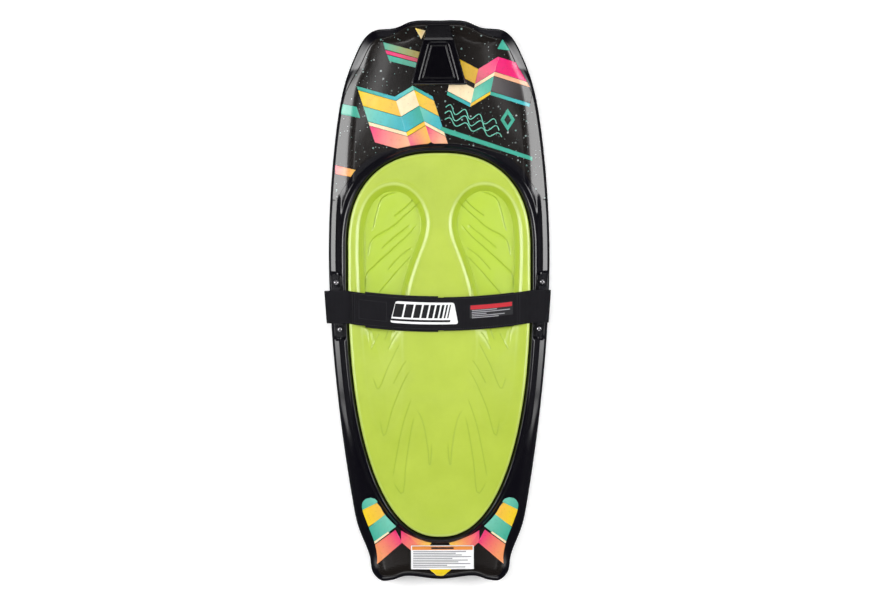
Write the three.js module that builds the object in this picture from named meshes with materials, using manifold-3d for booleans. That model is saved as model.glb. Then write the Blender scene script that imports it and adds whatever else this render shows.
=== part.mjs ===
// Kneeboard: a hollow moulded plastic hull filled with foam, a moulded foam knee pad bonded into
// its deck, a tow handle hook screwed to the nose and a padded two-part strap held by two side
// brackets. Millimetres. X to the rider's right, Y toward the nose, Z up out of the deck.
// The flat middle of the bottom lies on z = 0, half way along the board.
import * as THREE from 'three';
import { mergeVertices } from 'three/addons/utils/BufferGeometryUtils.js';
import Module from 'manifold-3d';

const wasm = await Module();
wasm.setup();

/* ------------------------------------------------------------------ driving dimensions */

const BOARD_LENGTH = 1300;
const BOARD_WIDTH = 514;
const HALF_LENGTH = BOARD_LENGTH / 2;
const HALF_WIDTH = BOARD_WIDTH / 2;

const WALL = 4;                       // moulded skin
const GAP = 0.4;                      // clearance between neighbouring pieces

const FLAT_FRONT_Y = 150;             // the bottom is level between these two lines
const FLAT_REAR_Y = -250;
const NOSE_ROCKER = 62;               // rise of the bottom at the nose and at the tail
const TAIL_ROCKER = 30;
const END_START = 200;                // distance from the middle where the ends begin to thin
const RAIL_EDGE = 4;                  // upright band around the widest line
const TOP_RAIL_REACH = 22;            // width of the rounded rail above and below that band
const BOTTOM_RAIL_REACH = 46;
const SPINE_HALF = 450;               // centre line that the hull surfaces are drawn out from

const PAD_HALF_WIDTH = 208;
const PAD_FRONT = { centreY: 120, reach: 225, exponent: 2.4 };
const PAD_REAR = { centreY: 60, reach: 608, exponent: 2.3 };
const PAD_PROUD = 10;                 // pad rim above the deck
const PAD_EDGE_RADIUS = 9;
const PAD_SAMPLES = 52;
const WELL_DEPTH = 24;

const STRAP_WIDTH = 76;
const STRAP_HINGE_X = 215;
const STRAP_HINGE_Z = 81;             // just over the webbing, so that each half lifts clear of its loop
const STRAP_END_Y = -12;              // strap centre at the brackets and in the middle
const STRAP_MIDDLE_Y = -29;
const WEBBING = 2;
const PADDING = 3.5;
const PATCH = 1;

const SEAT_Z = 64;                    // floor of the two bracket seats in the rails
const BRACKET_X = 235.3;
const BRACKET_Y = -9.8;
const BRACKET_HALF_LENGTH = 73;
const BRACKET_WIDTH = 14;
const BRACKET_SLOPE = 8 / 109;        // the brackets lean with the rail
const SCREW_HALF_PITCH = 54.5;
const SCREW_RADIUS = 3;
const SCREW_HEAD_RADIUS = 6;
const INSERT_RADIUS = 5;
const INSERT_LENGTH = 18;

const HOOK_SEAT_Z = 90;
const HOOK_TOP_Z = 124;
const HOOK_FRONT = { y: 640, half: 25 };
const HOOK_REAR = { y: 498, half: 65 };
const HOOK_FOLD_Y = 602;
const HOOK_SCREW_X = 14;
const HOOK_SCREW_Y = 624;

const PLUG_Y = -440;
const PLUG_CEILING_Z = 14.2;
const PLUG_HEAD_RADIUS = 18;
const PLUG_STEM_RADIUS = 13.5;

/* ------------------------------------------------------------------ materials */

function material(colour, roughness, metalness = 0) {
  return new THREE.MeshStandardMaterial({ color: colour, roughness, metalness });
}

const gloss_black = material(0x17161c, 0.25);
const foam_white = material(0xe8e2cf, 0.9);
const pad_green = material(0xbdd455, 0.65);
const rubber_black = material(0x141416, 0.8);
const webbing_black = material(0x242329, 0.9);
const neoprene_black = material(0x1d1c22, 0.85);
const label_red = material(0xc8212b, 0.6);
const label_white = material(0xe6e4e0, 0.6);
const steel = material(0x9d9aa1, 0.3, 1);
const brass = material(0xb99a4c, 0.35, 1);

/* ------------------------------------------------------------------ geometry helpers */

const group = new THREE.Group();

function addPart(name, geometry, look) {
  const mesh = new THREE.Mesh(geometry, look);
  mesh.name = name;
  group.add(mesh);
}

// Drops the triangles that merging has turned into lines.
function weld(geometry) {
  const bare = geometry.clone();
  bare.deleteAttribute('normal');
  bare.deleteAttribute('uv');
  const merged = mergeVertices(bare, 1e-4);
  const corners = merged.index.array;
  const kept = [];
  for (let i = 0; i < corners.length; i += 3) {
    const [a, b, c] = [corners[i], corners[i + 1], corners[i + 2]];
    if (a !== b && b !== c && c !== a) kept.push(a, b, c);
  }
  merged.setIndex(kept);
  return merged;
}

function toSolid(geometry) {
  const welded = weld(geometry);
  return new wasm.Manifold(new wasm.Mesh({
    numProp: 3,
    vertProperties: new Float32Array(welded.attributes.position.array),
    triVerts: new Uint32Array(welded.index.array),
  }));
}

function toGeometry(solid) {
  const mesh = solid.getMesh();
  const geometry = new THREE.BufferGeometry();
  geometry.setAttribute('position', new THREE.BufferAttribute(new Float32Array(mesh.vertProperties), 3));
  geometry.setIndex(new THREE.BufferAttribute(new Uint32Array(mesh.triVerts), 1));
  const faceted = geometry.toNonIndexed();
  faceted.computeVertexNormals();
  return faceted;
}

function cutAll(solid, tools) {
  return tools.reduce((left, tool) => left.subtract(tool), solid);
}

// Closed surface through rows of points; every row is a closed loop with the same point count.
function surfaceFromRows(rows, joinLastToFirst) {
  const positions = [];
  const count = rows[0].length;
  const pairs = joinLastToFirst ? rows.length : rows.length - 1;
  for (let i = 0; i < pairs; i += 1) {
    const row = rows[i];
    const next = rows[(i + 1) % rows.length];
    for (let j = 0; j < count; j += 1) {
      const k = (j + 1) % count;
      for (const point of [row[j], next[j], next[k], row[j], next[k], row[k]]) {
        positions.push(point.x, point.y, point.z);
      }
    }
  }
  const geometry = new THREE.BufferGeometry();
  geometry.setAttribute('position', new THREE.Float32BufferAttribute(positions, 3));
  return weld(geometry);
}

// Solid over an anticlockwise plan loop. Its top and bottom are drawn on rings that step inward
// from the loop to the spine; heightAt functions receive x, y and the inset from the loop.
function ringedSolid({ loop, spineAt, insets, inner, topAt, bottomAt }) {
  function ring(steps, heightAt) {
    return loop.map((edge) => {
      const centre = spineAt(edge);
      const reach = edge.distanceTo(centre);
      const inset = steps.share === undefined ? steps.inset : reach * steps.share;
      const point = edge.clone().lerp(centre, inset / reach);
      return new THREE.Vector3(point.x, point.y, heightAt(point.x, point.y, inset));
    });
  }
  const steps = [...insets.map((inset) => ({ inset })), ...inner.map((share) => ({ share }))];
  const top = steps.map((step) => ring(step, topAt)).reverse();
  const bottom = steps.map((step) => ring(step, bottomAt));
  return surfaceFromRows([...top, ...bottom], false);
}

// Moves every corner of a loop outward along its own normal.
function offsetLoop(loop, distance) {
  return loop.map((point, i) => {
    const before = loop[(i + loop.length - 1) % loop.length];
    const after = loop[(i + 1) % loop.length];
    const along = after.clone().sub(before).normalize();
    return new THREE.Vector2(point.x + along.y * distance, point.y - along.x * distance);
  });
}

function mirrorLoop(loop) {
  return loop.map((point) => new THREE.Vector2(-point.x, point.y)).reverse();
}

function polygon(points) {
  return new THREE.Shape(points.map(([x, y]) => new THREE.Vector2(x, y)));
}

// Profile drawn in Y and Z, drawn out along X about its middle.
function extrudeAcross(shape, width) {
  const geometry = new THREE.ExtrudeGeometry(shape, { depth: width, bevelEnabled: false });
  geometry.translate(0, 0, -width / 2);
  const axes = new THREE.Matrix4().makeBasis(
    new THREE.Vector3(0, 1, 0), new THREE.Vector3(0, 0, 1), new THREE.Vector3(1, 0, 0));
  return geometry.applyMatrix4(axes);
}

// Profile drawn in X and Z, drawn out along Y about its middle.
function extrudeAlong(shape, width) {
  const geometry = new THREE.ExtrudeGeometry(shape, { depth: width, bevelEnabled: false });
  geometry.translate(0, 0, -width / 2);
  const axes = new THREE.Matrix4().makeBasis(
    new THREE.Vector3(1, 0, 0), new THREE.Vector3(0, 0, 1), new THREE.Vector3(0, -1, 0));
  return geometry.applyMatrix4(axes);
}

function extrudeUp(shape, bottomZ, topZ) {
  const geometry = new THREE.ExtrudeGeometry(shape, { depth: topZ - bottomZ, bevelEnabled: false });
  return geometry.translate(0, 0, bottomZ);
}

function movePoints(geometry, change) {
  const position = geometry.attributes.position;
  for (let i = 0; i < position.count; i += 1) {
    const moved = change(new THREE.Vector3().fromBufferAttribute(position, i));
    position.setXYZ(i, moved.x, moved.y, moved.z);
  }
  geometry.computeVertexNormals();
  return geometry;
}

function uprightCylinder(x, y, radius, bottomZ, topZ, segments = 20) {
  const geometry = new THREE.CylinderGeometry(radius, radius, topZ - bottomZ, segments);
  geometry.rotateX(Math.PI / 2);
  return geometry.translate(x, y, (bottomZ + topZ) / 2);
}

// Turned piece: [radius, height] pairs; the profile starts and ends on the axis or closes up.
function turned(profile, x, y, z, segments = 20) {
  const points = profile.map(([radius, height]) => new THREE.Vector2(radius, height));
  const geometry = new THREE.LatheGeometry(points, segments);
  geometry.rotateX(Math.PI / 2);
  return weld(geometry.translate(x, y, z));
}

/* ------------------------------------------------------------------ hull form */

// Right half of the plan, from the middle of the nose to the middle of the tail.
const OUTLINE_RIGHT = [
  [0, HALF_LENGTH], [60, 649], [100, 634], [148, 628], [170, 612], [196, 565], [222, 492],
  [244, 352], [HALF_WIDTH, 143], [251, -66], [231, -276], [206, -450], [192, -520],
  [165, -590], [157, -630], [137, -649], [112, -648], [80, -639], [0, -646],
];

function hullLoop(samplesPerSpan) {
  const right = OUTLINE_RIGHT.map(([x, y]) => new THREE.Vector3(x, y, 0));
  const left = right.slice(1, -1).reverse().map((point) => new THREE.Vector3(-point.x, point.y, 0));
  const curve = new THREE.CatmullRomCurve3([...right, ...left], true, 'centripetal');
  const samples = samplesPerSpan * (right.length + left.length);
  const clockwise = Array.from({ length: samples }, (_, i) => curve.getPoint(i / samples));
  return clockwise.map((point) => new THREE.Vector2(point.x, point.y)).reverse();
}

// A value that changes from the middle of the board to its two ends.
function alongBoard(y, middle, nose, tail) {
  const noseShare = THREE.MathUtils.smoothstep(y, END_START, HALF_LENGTH);
  const tailShare = THREE.MathUtils.smoothstep(-y, END_START, HALF_LENGTH);
  return middle + (nose - middle) * noseShare + (tail - middle) * tailShare;
}

function keelHeight(y) {
  const nose = Math.max(0, (y - FLAT_FRONT_Y) / (HALF_LENGTH - FLAT_FRONT_Y));
  const tail = Math.max(0, (FLAT_REAR_Y - y) / (HALF_LENGTH + FLAT_REAR_Y));
  return NOSE_ROCKER * nose ** 2 + TAIL_ROCKER * tail ** 2;
}

function railHeight(y) {
  return keelHeight(y) + alongBoard(y, 40, 22, 20);
}

function deckHeight(x, y) {
  const crown = alongBoard(y, 0, 10, 6) * Math.max(0, 1 - (x / PAD_HALF_WIDTH) ** 2);
  return railHeight(y) + alongBoard(y, 30, 14, 14) + crown;
}

// Quarter round: 0 at the edge, 1 once the distance passes the reach.
function rounded(distance, reach) {
  const share = Math.min(distance / reach, 1);
  return (1 - (1 - share) ** 2.2) ** (1 / 2.2);
}

// The hull as a full solid, pulled in on all sides by an amount.
function hullBody(shrink, samplesPerSpan) {
  return toSolid(ringedSolid({
    loop: offsetLoop(hullLoop(samplesPerSpan), -shrink),
    spineAt: (edge) => new THREE.Vector2(0, THREE.MathUtils.clamp(edge.y, -SPINE_HALF, SPINE_HALF)),
    insets: [0, 2, 6, 12, 20, 32, 46],
    inner: [0.4, 0.7, 1],
    topAt: (x, y, inset) => {
      const edge = railHeight(y) + RAIL_EDGE / 2;
      return edge + (deckHeight(x, y) - edge) * rounded(inset + shrink, TOP_RAIL_REACH) - shrink;
    },
    bottomAt: (x, y, inset) => {
      const edge = railHeight(y) - RAIL_EDGE / 2;
      return edge - (edge - keelHeight(y)) * rounded(inset + shrink, BOTTOM_RAIL_REACH) + shrink;
    },
  }));
}

/* ------------------------------------------------------------------ pad form */

function padLoop(samples) {
  const power = (value, exponent) => Math.sign(value) * Math.abs(value) ** exponent;
  return Array.from({ length: samples }, (_, i) => {
    const angle = ((i + 0.5) / samples) * Math.PI * 2;
    const end = i < samples / 2 ? PAD_FRONT : PAD_REAR;
    return new THREE.Vector2(
      PAD_HALF_WIDTH * power(Math.cos(angle), 2 / end.exponent),
      end.centreY + end.reach * power(Math.sin(angle), 2 / end.exponent));
  });
}

function padSpine(edge) {
  return new THREE.Vector2(0, THREE.MathUtils.clamp(edge.y, -400, 200));
}

// The pad is thick under the knees and thin behind them.
function padFloor(y) {
  return deckHeight(0, y) - 28 + 16 * THREE.MathUtils.smoothstep(-y, 150, 420);
}

function padTop(x, y) {
  return deckHeight(x, y) + PAD_PROUD;
}

function padPocket(grow) {
  return toSolid(ringedSolid({
    loop: offsetLoop(padLoop(PAD_SAMPLES), GAP + grow),
    spineAt: padSpine,
    insets: [0, 40],
    inner: [0.6, 1],
    topAt: () => HOOK_TOP_Z,
    bottomAt: (x, y) => padFloor(y) - grow,
  }));
}

// Raised rim of the hull around the pad: [distance out from the pad, height over the deck].
function coaming() {
  const section = [[GAP, -6], [GAP, 2], [6, 8], [13, 8], [30, -2], [30, -6]];
  const loop = padLoop(PAD_SAMPLES);
  const rows = section.map(([out, height]) => loop.map((edge, i) => {
    const narrow = 1 - 0.37 * THREE.MathUtils.smoothstep(edge.y, 290, 345)
      - 0.47 * THREE.MathUtils.smoothstep(-edge.y, 300, 548);
    const point = offsetLoop(loop, Math.max(GAP, out * narrow))[i];
    return new THREE.Vector3(point.x, point.y, deckHeight(point.x, point.y) + height);
  }));
  return toSolid(surfaceFromRows(rows, true));
}

function kneeWell(side) {
  const edge = [
    [98, 276], [61, 261], [38, 241], [28, 205], [32, 150], [57, 83], [76, 16], [90, -80],
    [88, -180], [104, -280], [138, -290], [164, -200], [176, -80], [186, 40], [187, 136],
    [174, 208], [140, 256],
  ];
  const points = edge.map(([x, y]) => new THREE.Vector3(x, y, 0));
  const curve = new THREE.CatmullRomCurve3(points, true, 'centripetal');
  const samples = 2 * points.length;
  const right = Array.from({ length: samples }, (_, i) => curve.getPoint(i / samples))
    .map((point) => new THREE.Vector2(point.x, point.y));
  const depthAt = (y) => 2 + (WELL_DEPTH - 2) * (1 - THREE.MathUtils.smoothstep(-y, -60, 300));
  return toSolid(ringedSolid({
    loop: side > 0 ? right : mirrorLoop(right),
    spineAt: () => new THREE.Vector2(side * 112, 60),
    insets: [0, 5, 14, 28],
    inner: [0.7, 1],
    topAt: (x, y) => padTop(x, y) + 20,
    bottomAt: (x, y, inset) => padTop(x, y) + 1 - (depthAt(y) + 1) * rounded(inset, 30),
  }));
}

function kneePad() {
  const blank = toSolid(ringedSolid({
    loop: padLoop(PAD_SAMPLES),
    spineAt: padSpine,
    insets: [0, 3, PAD_EDGE_RADIUS, 40],
    inner: [0.6, 1],
    topAt: (x, y, inset) => padTop(x, y) - PAD_EDGE_RADIUS * (1 - rounded(inset, PAD_EDGE_RADIUS)),
    bottomAt: (x, y) => padFloor(y) + GAP,
  }));
  return cutAll(blank, [kneeWell(1), kneeWell(-1)]);
}

/* ------------------------------------------------------------------ seats cut into the hull */

const SIDES = [
  { name: 'left', sign: -1, loopOutX: 264 },
  { name: 'right', sign: 1, loopOutX: 256 },
];

const STRAP_SCREWS = SIDES.flatMap(({ name, sign }) => [
  { name: `${name}_front`, end: 1 },
  { name: `${name}_rear`, end: -1 },
].map((screw) => ({
  name: screw.name,
  x: sign * (BRACKET_X + screw.end * SCREW_HALF_PITCH * BRACKET_SLOPE),
  y: BRACKET_Y + screw.end * SCREW_HALF_PITCH,
})));

const HOOK_SCREWS = SIDES.map(({ name, sign }) => ({
  name, x: sign * HOOK_SCREW_X, y: HOOK_SCREW_Y,
}));

// Moves the pieces of a bracket sideways so that they follow the lean of the rail.
function leanWithRail(geometry, sign) {
  return movePoints(geometry, (point) => {
    const share = THREE.MathUtils.clamp((Math.abs(point.x) - STRAP_HINGE_X) / 8, 0, 1);
    point.x += sign * share * BRACKET_SLOPE * (point.y - BRACKET_Y);
    return point;
  });
}

function bracketSeat(sign, grow) {
  const halfWidth = 17 + grow;
  const halfLength = BRACKET_HALF_LENGTH + 3 + grow;
  const x = sign * BRACKET_X;
  const plan = polygon([
    [x - halfWidth, BRACKET_Y - halfLength], [x + halfWidth, BRACKET_Y - halfLength],
    [x + halfWidth, BRACKET_Y + halfLength], [x - halfWidth, BRACKET_Y + halfLength],
  ]);
  return toSolid(leanWithRail(extrudeUp(plan, SEAT_Z - grow, HOOK_TOP_Z), sign));
}

function hookPlan(grow, frontY = HOOK_FRONT.y, rearY = HOOK_REAR.y) {
  const halfAt = (y) => THREE.MathUtils.mapLinear(
    y, HOOK_REAR.y, HOOK_FRONT.y, HOOK_REAR.half, HOOK_FRONT.half) + grow;
  return polygon([
    [-halfAt(rearY), rearY - grow], [halfAt(rearY), rearY - grow],
    [halfAt(frontY), frontY + grow], [-halfAt(frontY), frontY + grow],
  ]);
}

const HOOK_FOOT_REAR_Y = 590;

function hookSeat(grow) {
  return toSolid(extrudeUp(
    hookPlan(GAP + grow, HOOK_FRONT.y, HOOK_FOOT_REAR_Y), HOOK_SEAT_Z - grow, HOOK_TOP_Z));
}

function insertBore(x, y, topZ, grow) {
  const floor = topZ - INSERT_LENGTH - 2 * GAP - grow;
  return toSolid(uprightCylinder(x, y, INSERT_RADIUS + GAP + grow, floor, topZ + 1));
}

function plugSeat(grow) {
  return toSolid(uprightCylinder(0, PLUG_Y, PLUG_HEAD_RADIUS + GAP + grow, -5, PLUG_CEILING_Z + grow, 32));
}

// Everything that is let into the hull, grown by the thickness of the skin left around it.
function hullSeats(grow) {
  return [
    padPocket(grow),
    ...SIDES.map(({ sign }) => bracketSeat(sign, grow)),
    hookSeat(grow),
    plugSeat(grow),
    ...STRAP_SCREWS.map(({ x, y }) => insertBore(x, y, SEAT_Z, grow)),
    ...HOOK_SCREWS.map(({ x, y }) => insertBore(x, y, HOOK_SEAT_Z, grow)),
  ];
}

// Short moulded fin under one tail corner; it stays above the level of the flat bottom.
function tailFin(sign) {
  const under = (y, drop) => keelHeight(y) - drop;
  const profile = polygon([
    [-470, under(-470, -6)], [-505, under(-505, 6)], [-560, under(-560, 12)],
    [-600, under(-600, 12)], [-612, under(-612, -6)],
  ]);
  return toSolid(extrudeAcross(profile, 12).translate(sign * 118, 0, 0));
}

/* ------------------------------------------------------------------ hull, foam and fill plug */

function hullShell() {
  const outside = hullBody(0, 2).add(coaming()).add(tailFin(1)).add(tailFin(-1));
  const cavity = cutAll(hullBody(WALL, 2), hullSeats(WALL));
  const fillPort = toSolid(uprightCylinder(0, PLUG_Y, PLUG_STEM_RADIUS + 0.5, 0, PLUG_CEILING_Z + 2 * WALL, 32));
  return cutAll(outside, hullSeats(0)).subtract(cavity).subtract(fillPort);
}

function foamCore() {
  return cutAll(hullBody(WALL + GAP, 2), hullSeats(WALL + GAP));
}

function fillPlug() {
  const headTop = -2.8;
  return turned([
    [0, headTop - 3], [PLUG_HEAD_RADIUS, headTop - 3], [PLUG_HEAD_RADIUS, headTop],
    [PLUG_STEM_RADIUS, headTop], [PLUG_STEM_RADIUS, WALL - GAP], [0, WALL - GAP],
  ], 0, PLUG_Y, PLUG_CEILING_Z, 32);
}

function fillPlugSeal() {
  const ring = new THREE.TorusGeometry(PLUG_STEM_RADIUS + 2, 1, 8, 32);
  return weld(ring.translate(0, PLUG_Y, PLUG_CEILING_Z - 1.4));
}

addPart('hull_shell', toGeometry(hullShell()), gloss_black);
addPart('foam_core', toGeometry(foamCore()), foam_white);
addPart('foam_fill_plug', fillPlug(), gloss_black);
addPart('fill_plug_seal', fillPlugSeal(), rubber_black);
addPart('knee_pad', toGeometry(kneePad()), pad_green);

/* ------------------------------------------------------------------ nose hook */

function noseHook() {
  const side = polygon([
    [HOOK_FRONT.y, HOOK_SEAT_Z + GAP], [HOOK_FRONT.y, 105], [HOOK_FOLD_Y, HOOK_TOP_Z],
    [HOOK_REAR.y + 3, HOOK_TOP_Z], [HOOK_REAR.y, HOOK_TOP_Z - 3], [HOOK_REAR.y, 117],
    [HOOK_REAR.y + 3, 116], [HOOK_REAR.y + 9, 118], [578, 118], [586, 115],
    [HOOK_FOOT_REAR_Y, 108], [HOOK_FOOT_REAR_Y, HOOK_SEAT_Z + GAP],
  ]);
  const blank = toSolid(extrudeAcross(side, 4 * HOOK_REAR.half));
  const trimmed = blank.intersect(toSolid(extrudeUp(hookPlan(0), 0, HOOK_TOP_Z + 1)));
  const recess = toSolid(extrudeUp(
    polygon([[-46, 507], [46, 507], [21, 596], [-21, 596]]), HOOK_TOP_Z - 3, HOOK_TOP_Z + 1));
  const bores = HOOK_SCREWS.flatMap(({ x, y }) => [
    toSolid(uprightCylinder(x, y, SCREW_RADIUS + GAP, 0, HOOK_TOP_Z + 1)),
    toSolid(uprightCylinder(x, y, SCREW_HEAD_RADIUS + GAP, 101, HOOK_TOP_Z + 1)),
  ]);
  return cutAll(trimmed, [recess, ...bores]);
}

// Pan head screw standing on z, its shank pointing down.
function panScrew(x, y, z, shankLength) {
  return turned([
    [0, -shankLength], [SCREW_RADIUS, -shankLength], [SCREW_RADIUS, 0], [SCREW_HEAD_RADIUS, 0],
    [SCREW_HEAD_RADIUS, 2], [SCREW_HEAD_RADIUS - 1.6, 3.7], [0, 4],
  ], x, y, z);
}

function threadedInsert(x, y, topZ) {
  const bore = SCREW_RADIUS + GAP;
  return turned([
    [bore, -INSERT_LENGTH], [INSERT_RADIUS, -INSERT_LENGTH], [INSERT_RADIUS, 0], [bore, 0],
    [bore, -INSERT_LENGTH],
  ], x, y, topZ - GAP);
}

addPart('nose_hook', toGeometry(noseHook()), gloss_black);
for (const { name, x, y } of HOOK_SCREWS) {
  addPart(`${name}_hook_screw`, panScrew(x, y, 101 + GAP, 26), rubber_black);
  addPart(`${name}_hook_insert`, threadedInsert(x, y, HOOK_SEAT_Z), brass);
}

/* ------------------------------------------------------------------ strap brackets */

const FOOT_TOP_Z = SEAT_Z + GAP + 4;
const BAR_TOP_Z = 77;

// Two screwed feet joined by a raised bar that the webbing passes under.
function strapBracket(sign) {
  const halves = [
    [BRACKET_HALF_LENGTH, SEAT_Z + GAP], [BRACKET_HALF_LENGTH, FOOT_TOP_Z], [47.5, FOOT_TOP_Z],
    [44.5, BAR_TOP_Z],
  ];
  const underside = [[42.5, BAR_TOP_Z - 5], [45, SEAT_Z + GAP]];
  const over = [...halves, ...halves.map(([y, z]) => [-y, z]).reverse()];
  const under = [...underside.map(([y, z]) => [-y, z]).reverse(), ...underside];
  const blank = extrudeAcross(polygon([...over, ...under]), BRACKET_WIDTH);
  blank.translate(sign * BRACKET_X, BRACKET_Y, 0);
  const bores = STRAP_SCREWS.filter(({ x }) => Math.sign(x) === sign)
    .map(({ x, y }) => toSolid(uprightCylinder(x, y, SCREW_RADIUS + GAP, SEAT_Z - 5, BAR_TOP_Z)));
  return cutAll(toSolid(leanWithRail(blank, sign)), bores);
}

function washer(x, y, bottomZ) {
  const bore = SCREW_RADIUS + GAP;
  return turned([
    [bore, 0], [SCREW_HEAD_RADIUS, 0], [SCREW_HEAD_RADIUS, 1.4], [bore, 1.4], [bore, 0],
  ], x, y, bottomZ);
}

for (const { name, sign } of SIDES) {
  addPart(`${name}_strap_bracket`, toGeometry(strapBracket(sign)), gloss_black);
}
for (const { name, x, y } of STRAP_SCREWS) {
  const washerZ = FOOT_TOP_Z + GAP;
  addPart(`${name}_bracket_screw`, panScrew(x, y, washerZ + 1.4 + GAP, 22), steel);
  addPart(`${name}_bracket_washer`, washer(x, y, washerZ), steel);
  addPart(`${name}_bracket_insert`, threadedInsert(x, y, SEAT_Z), brass);
}

/* ------------------------------------------------------------------ strap */

// Underside of the webbing where it leaves the bracket.
const LOOP_BOTTOM_Z = STRAP_HINGE_Z - GAP - WEBBING;
const STACK = PATCH * 2 + WEBBING + 3 * 0.3;   // lower webbing and both patches with their gaps
const LEVEL_Z = 86.8;                 // underside of the lower webbing over the pad

// Webbing loop stitched round the bracket bar; it stays with the board.
function anchorLoop(sign, outX) {
  const inX = 222.5;
  const at = (points) => points.map(([x, z]) => [sign * x, z]);
  const shape = polygon(at([
    [STRAP_HINGE_X + GAP, LOOP_BOTTOM_Z], [inX, LOOP_BOTTOM_Z], [inX, 67], [inX + 2, 65],
    [outX - 4, 65], [outX, 69], [outX, 77], [outX - 4, LOOP_BOTTOM_Z + WEBBING],
    [STRAP_HINGE_X + GAP, LOOP_BOTTOM_Z + WEBBING],
  ]));
  shape.holes.push(polygon(at([
    [inX + WEBBING, 67.5], [inX + WEBBING, BAR_TOP_Z + GAP], [outX - 5, BAR_TOP_Z + GAP],
    [outX - WEBBING, 75], [outX - WEBBING, 70], [outX - 5, 67.5],
  ])));
  const blank = extrudeAlong(shape, STRAP_WIDTH).translate(0, STRAP_END_Y, 0);
  return weld(leanWithRail(blank, sign));
}

// Underside of the lower webbing: level over the pad, low beside the brackets.
function lowerWebbingZ(x) {
  return LOOP_BOTTOM_Z + (LEVEL_Z - LOOP_BOTTOM_Z) * THREE.MathUtils.smoothstep(-Math.abs(x), -210, -186);
}

// Underside of the upper webbing: one stack higher where it lies on the lower half.
function upperWebbingZ(x) {
  return lowerWebbingZ(x) + STACK * (1 - THREE.MathUtils.smoothstep(x, 0, 120));
}

// Strip of cloth between two x positions. It bows toward the tail like the whole strap.
function strapStrip({ from, to, width, bottomAt, thickness, shiftY = 0 }) {
  const steps = Math.max(2, Math.round(Math.abs(to - from) / 12));
  const xs = Array.from({ length: steps + 1 }, (_, i) => THREE.MathUtils.lerp(from, to, i / steps));
  const shape = polygon([
    ...xs.map((x) => [x, bottomAt(x)]),
    ...xs.slice().reverse().map((x) => [x, bottomAt(x) + thickness]),
  ]);
  return weld(movePoints(extrudeAlong(shape, width), (point) => {
    const share = (point.x / STRAP_HINGE_X) ** 2;
    point.y += THREE.MathUtils.lerp(STRAP_MIDDLE_Y, STRAP_END_Y, share) + shiftY;
    return point;
  }));
}

for (const { name, sign, loopOutX } of SIDES) {
  addPart(`${name}_anchor_loop`, anchorLoop(sign, loopOutX), webbing_black);
}

const LEFT_TIP_X = -3;
const RIGHT_TIP_X = -201;
const PADDING_END_X = 172;
const hingeEnd = STRAP_HINGE_X - GAP;
const layerGap = 0.3;

addPart('left_strap', strapStrip({
  from: -hingeEnd, to: LEFT_TIP_X, width: STRAP_WIDTH, bottomAt: lowerWebbingZ, thickness: WEBBING,
}), webbing_black);
addPart('left_strap_padding', strapStrip({
  from: -PADDING_END_X, to: LEFT_TIP_X, width: STRAP_WIDTH + 7, thickness: PADDING,
  bottomAt: (x) => lowerWebbingZ(x) - layerGap - PADDING,
}), neoprene_black);
addPart('left_strap_loop_patch', strapStrip({
  from: -PADDING_END_X, to: LEFT_TIP_X - 3, width: STRAP_WIDTH - 6, thickness: PATCH,
  bottomAt: (x) => lowerWebbingZ(x) + WEBBING + layerGap,
}), neoprene_black);
addPart('right_strap', strapStrip({
  from: RIGHT_TIP_X, to: hingeEnd, width: STRAP_WIDTH, bottomAt: upperWebbingZ, thickness: WEBBING,
}), webbing_black);
addPart('right_strap_hook_patch', strapStrip({
  from: -PADDING_END_X, to: -40, width: STRAP_WIDTH - 6, thickness: PATCH,
  bottomAt: (x) => upperWebbingZ(x) - layerGap - PATCH,
}), rubber_black);
addPart('right_strap_padding', strapStrip({
  from: 10, to: PADDING_END_X, width: STRAP_WIDTH + 2, thickness: PADDING,
  bottomAt: (x) => upperWebbingZ(x) - layerGap - PADDING,
}), neoprene_black);
addPart('strap_badge', strapStrip({
  from: -115, to: 43, width: 50, thickness: 0.8, bottomAt: (x) => upperWebbingZ(x) + WEBBING + layerGap,
}), label_white);
addPart('strap_care_label', strapStrip({
  from: 70, to: 169, width: 32, thickness: 0.5, shiftY: 4,
  bottomAt: (x) => upperWebbingZ(x) + WEBBING + layerGap,
}), label_red);

/* ------------------------------------------------------------------ tail label */

function tailLabel() {
  const lift = 1.2;
  const [left, right, rear, front] = [-68, 78, -622, -567];
  const corner = (x, y) => new THREE.Vector2(x, y);
  const loop = [
    corner(left, rear), corner(0, rear), corner(right, rear), corner(right, (rear + front) / 2),
    corner(right, front), corner(0, front), corner(left, front), corner(left, (rear + front) / 2),
  ];
  return ringedSolid({
    loop,
    spineAt: () => corner(0, (rear + front) / 2),
    insets: [0],
    inner: [0.5, 1],
    topAt: (x, y) => deckHeight(x, y) + lift + 0.5,
    bottomAt: (x, y) => deckHeight(x, y) + lift,
  });
}

addPart('tail_label', tailLabel(), label_white);

export default group;
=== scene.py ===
"""Looks for the kneeboard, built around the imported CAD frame. Metres, X right, Y to the nose, Z up."""

import math

import bmesh
import bpy
import numpy as np
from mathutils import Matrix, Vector
from mathutils.kdtree import KDTree


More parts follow.
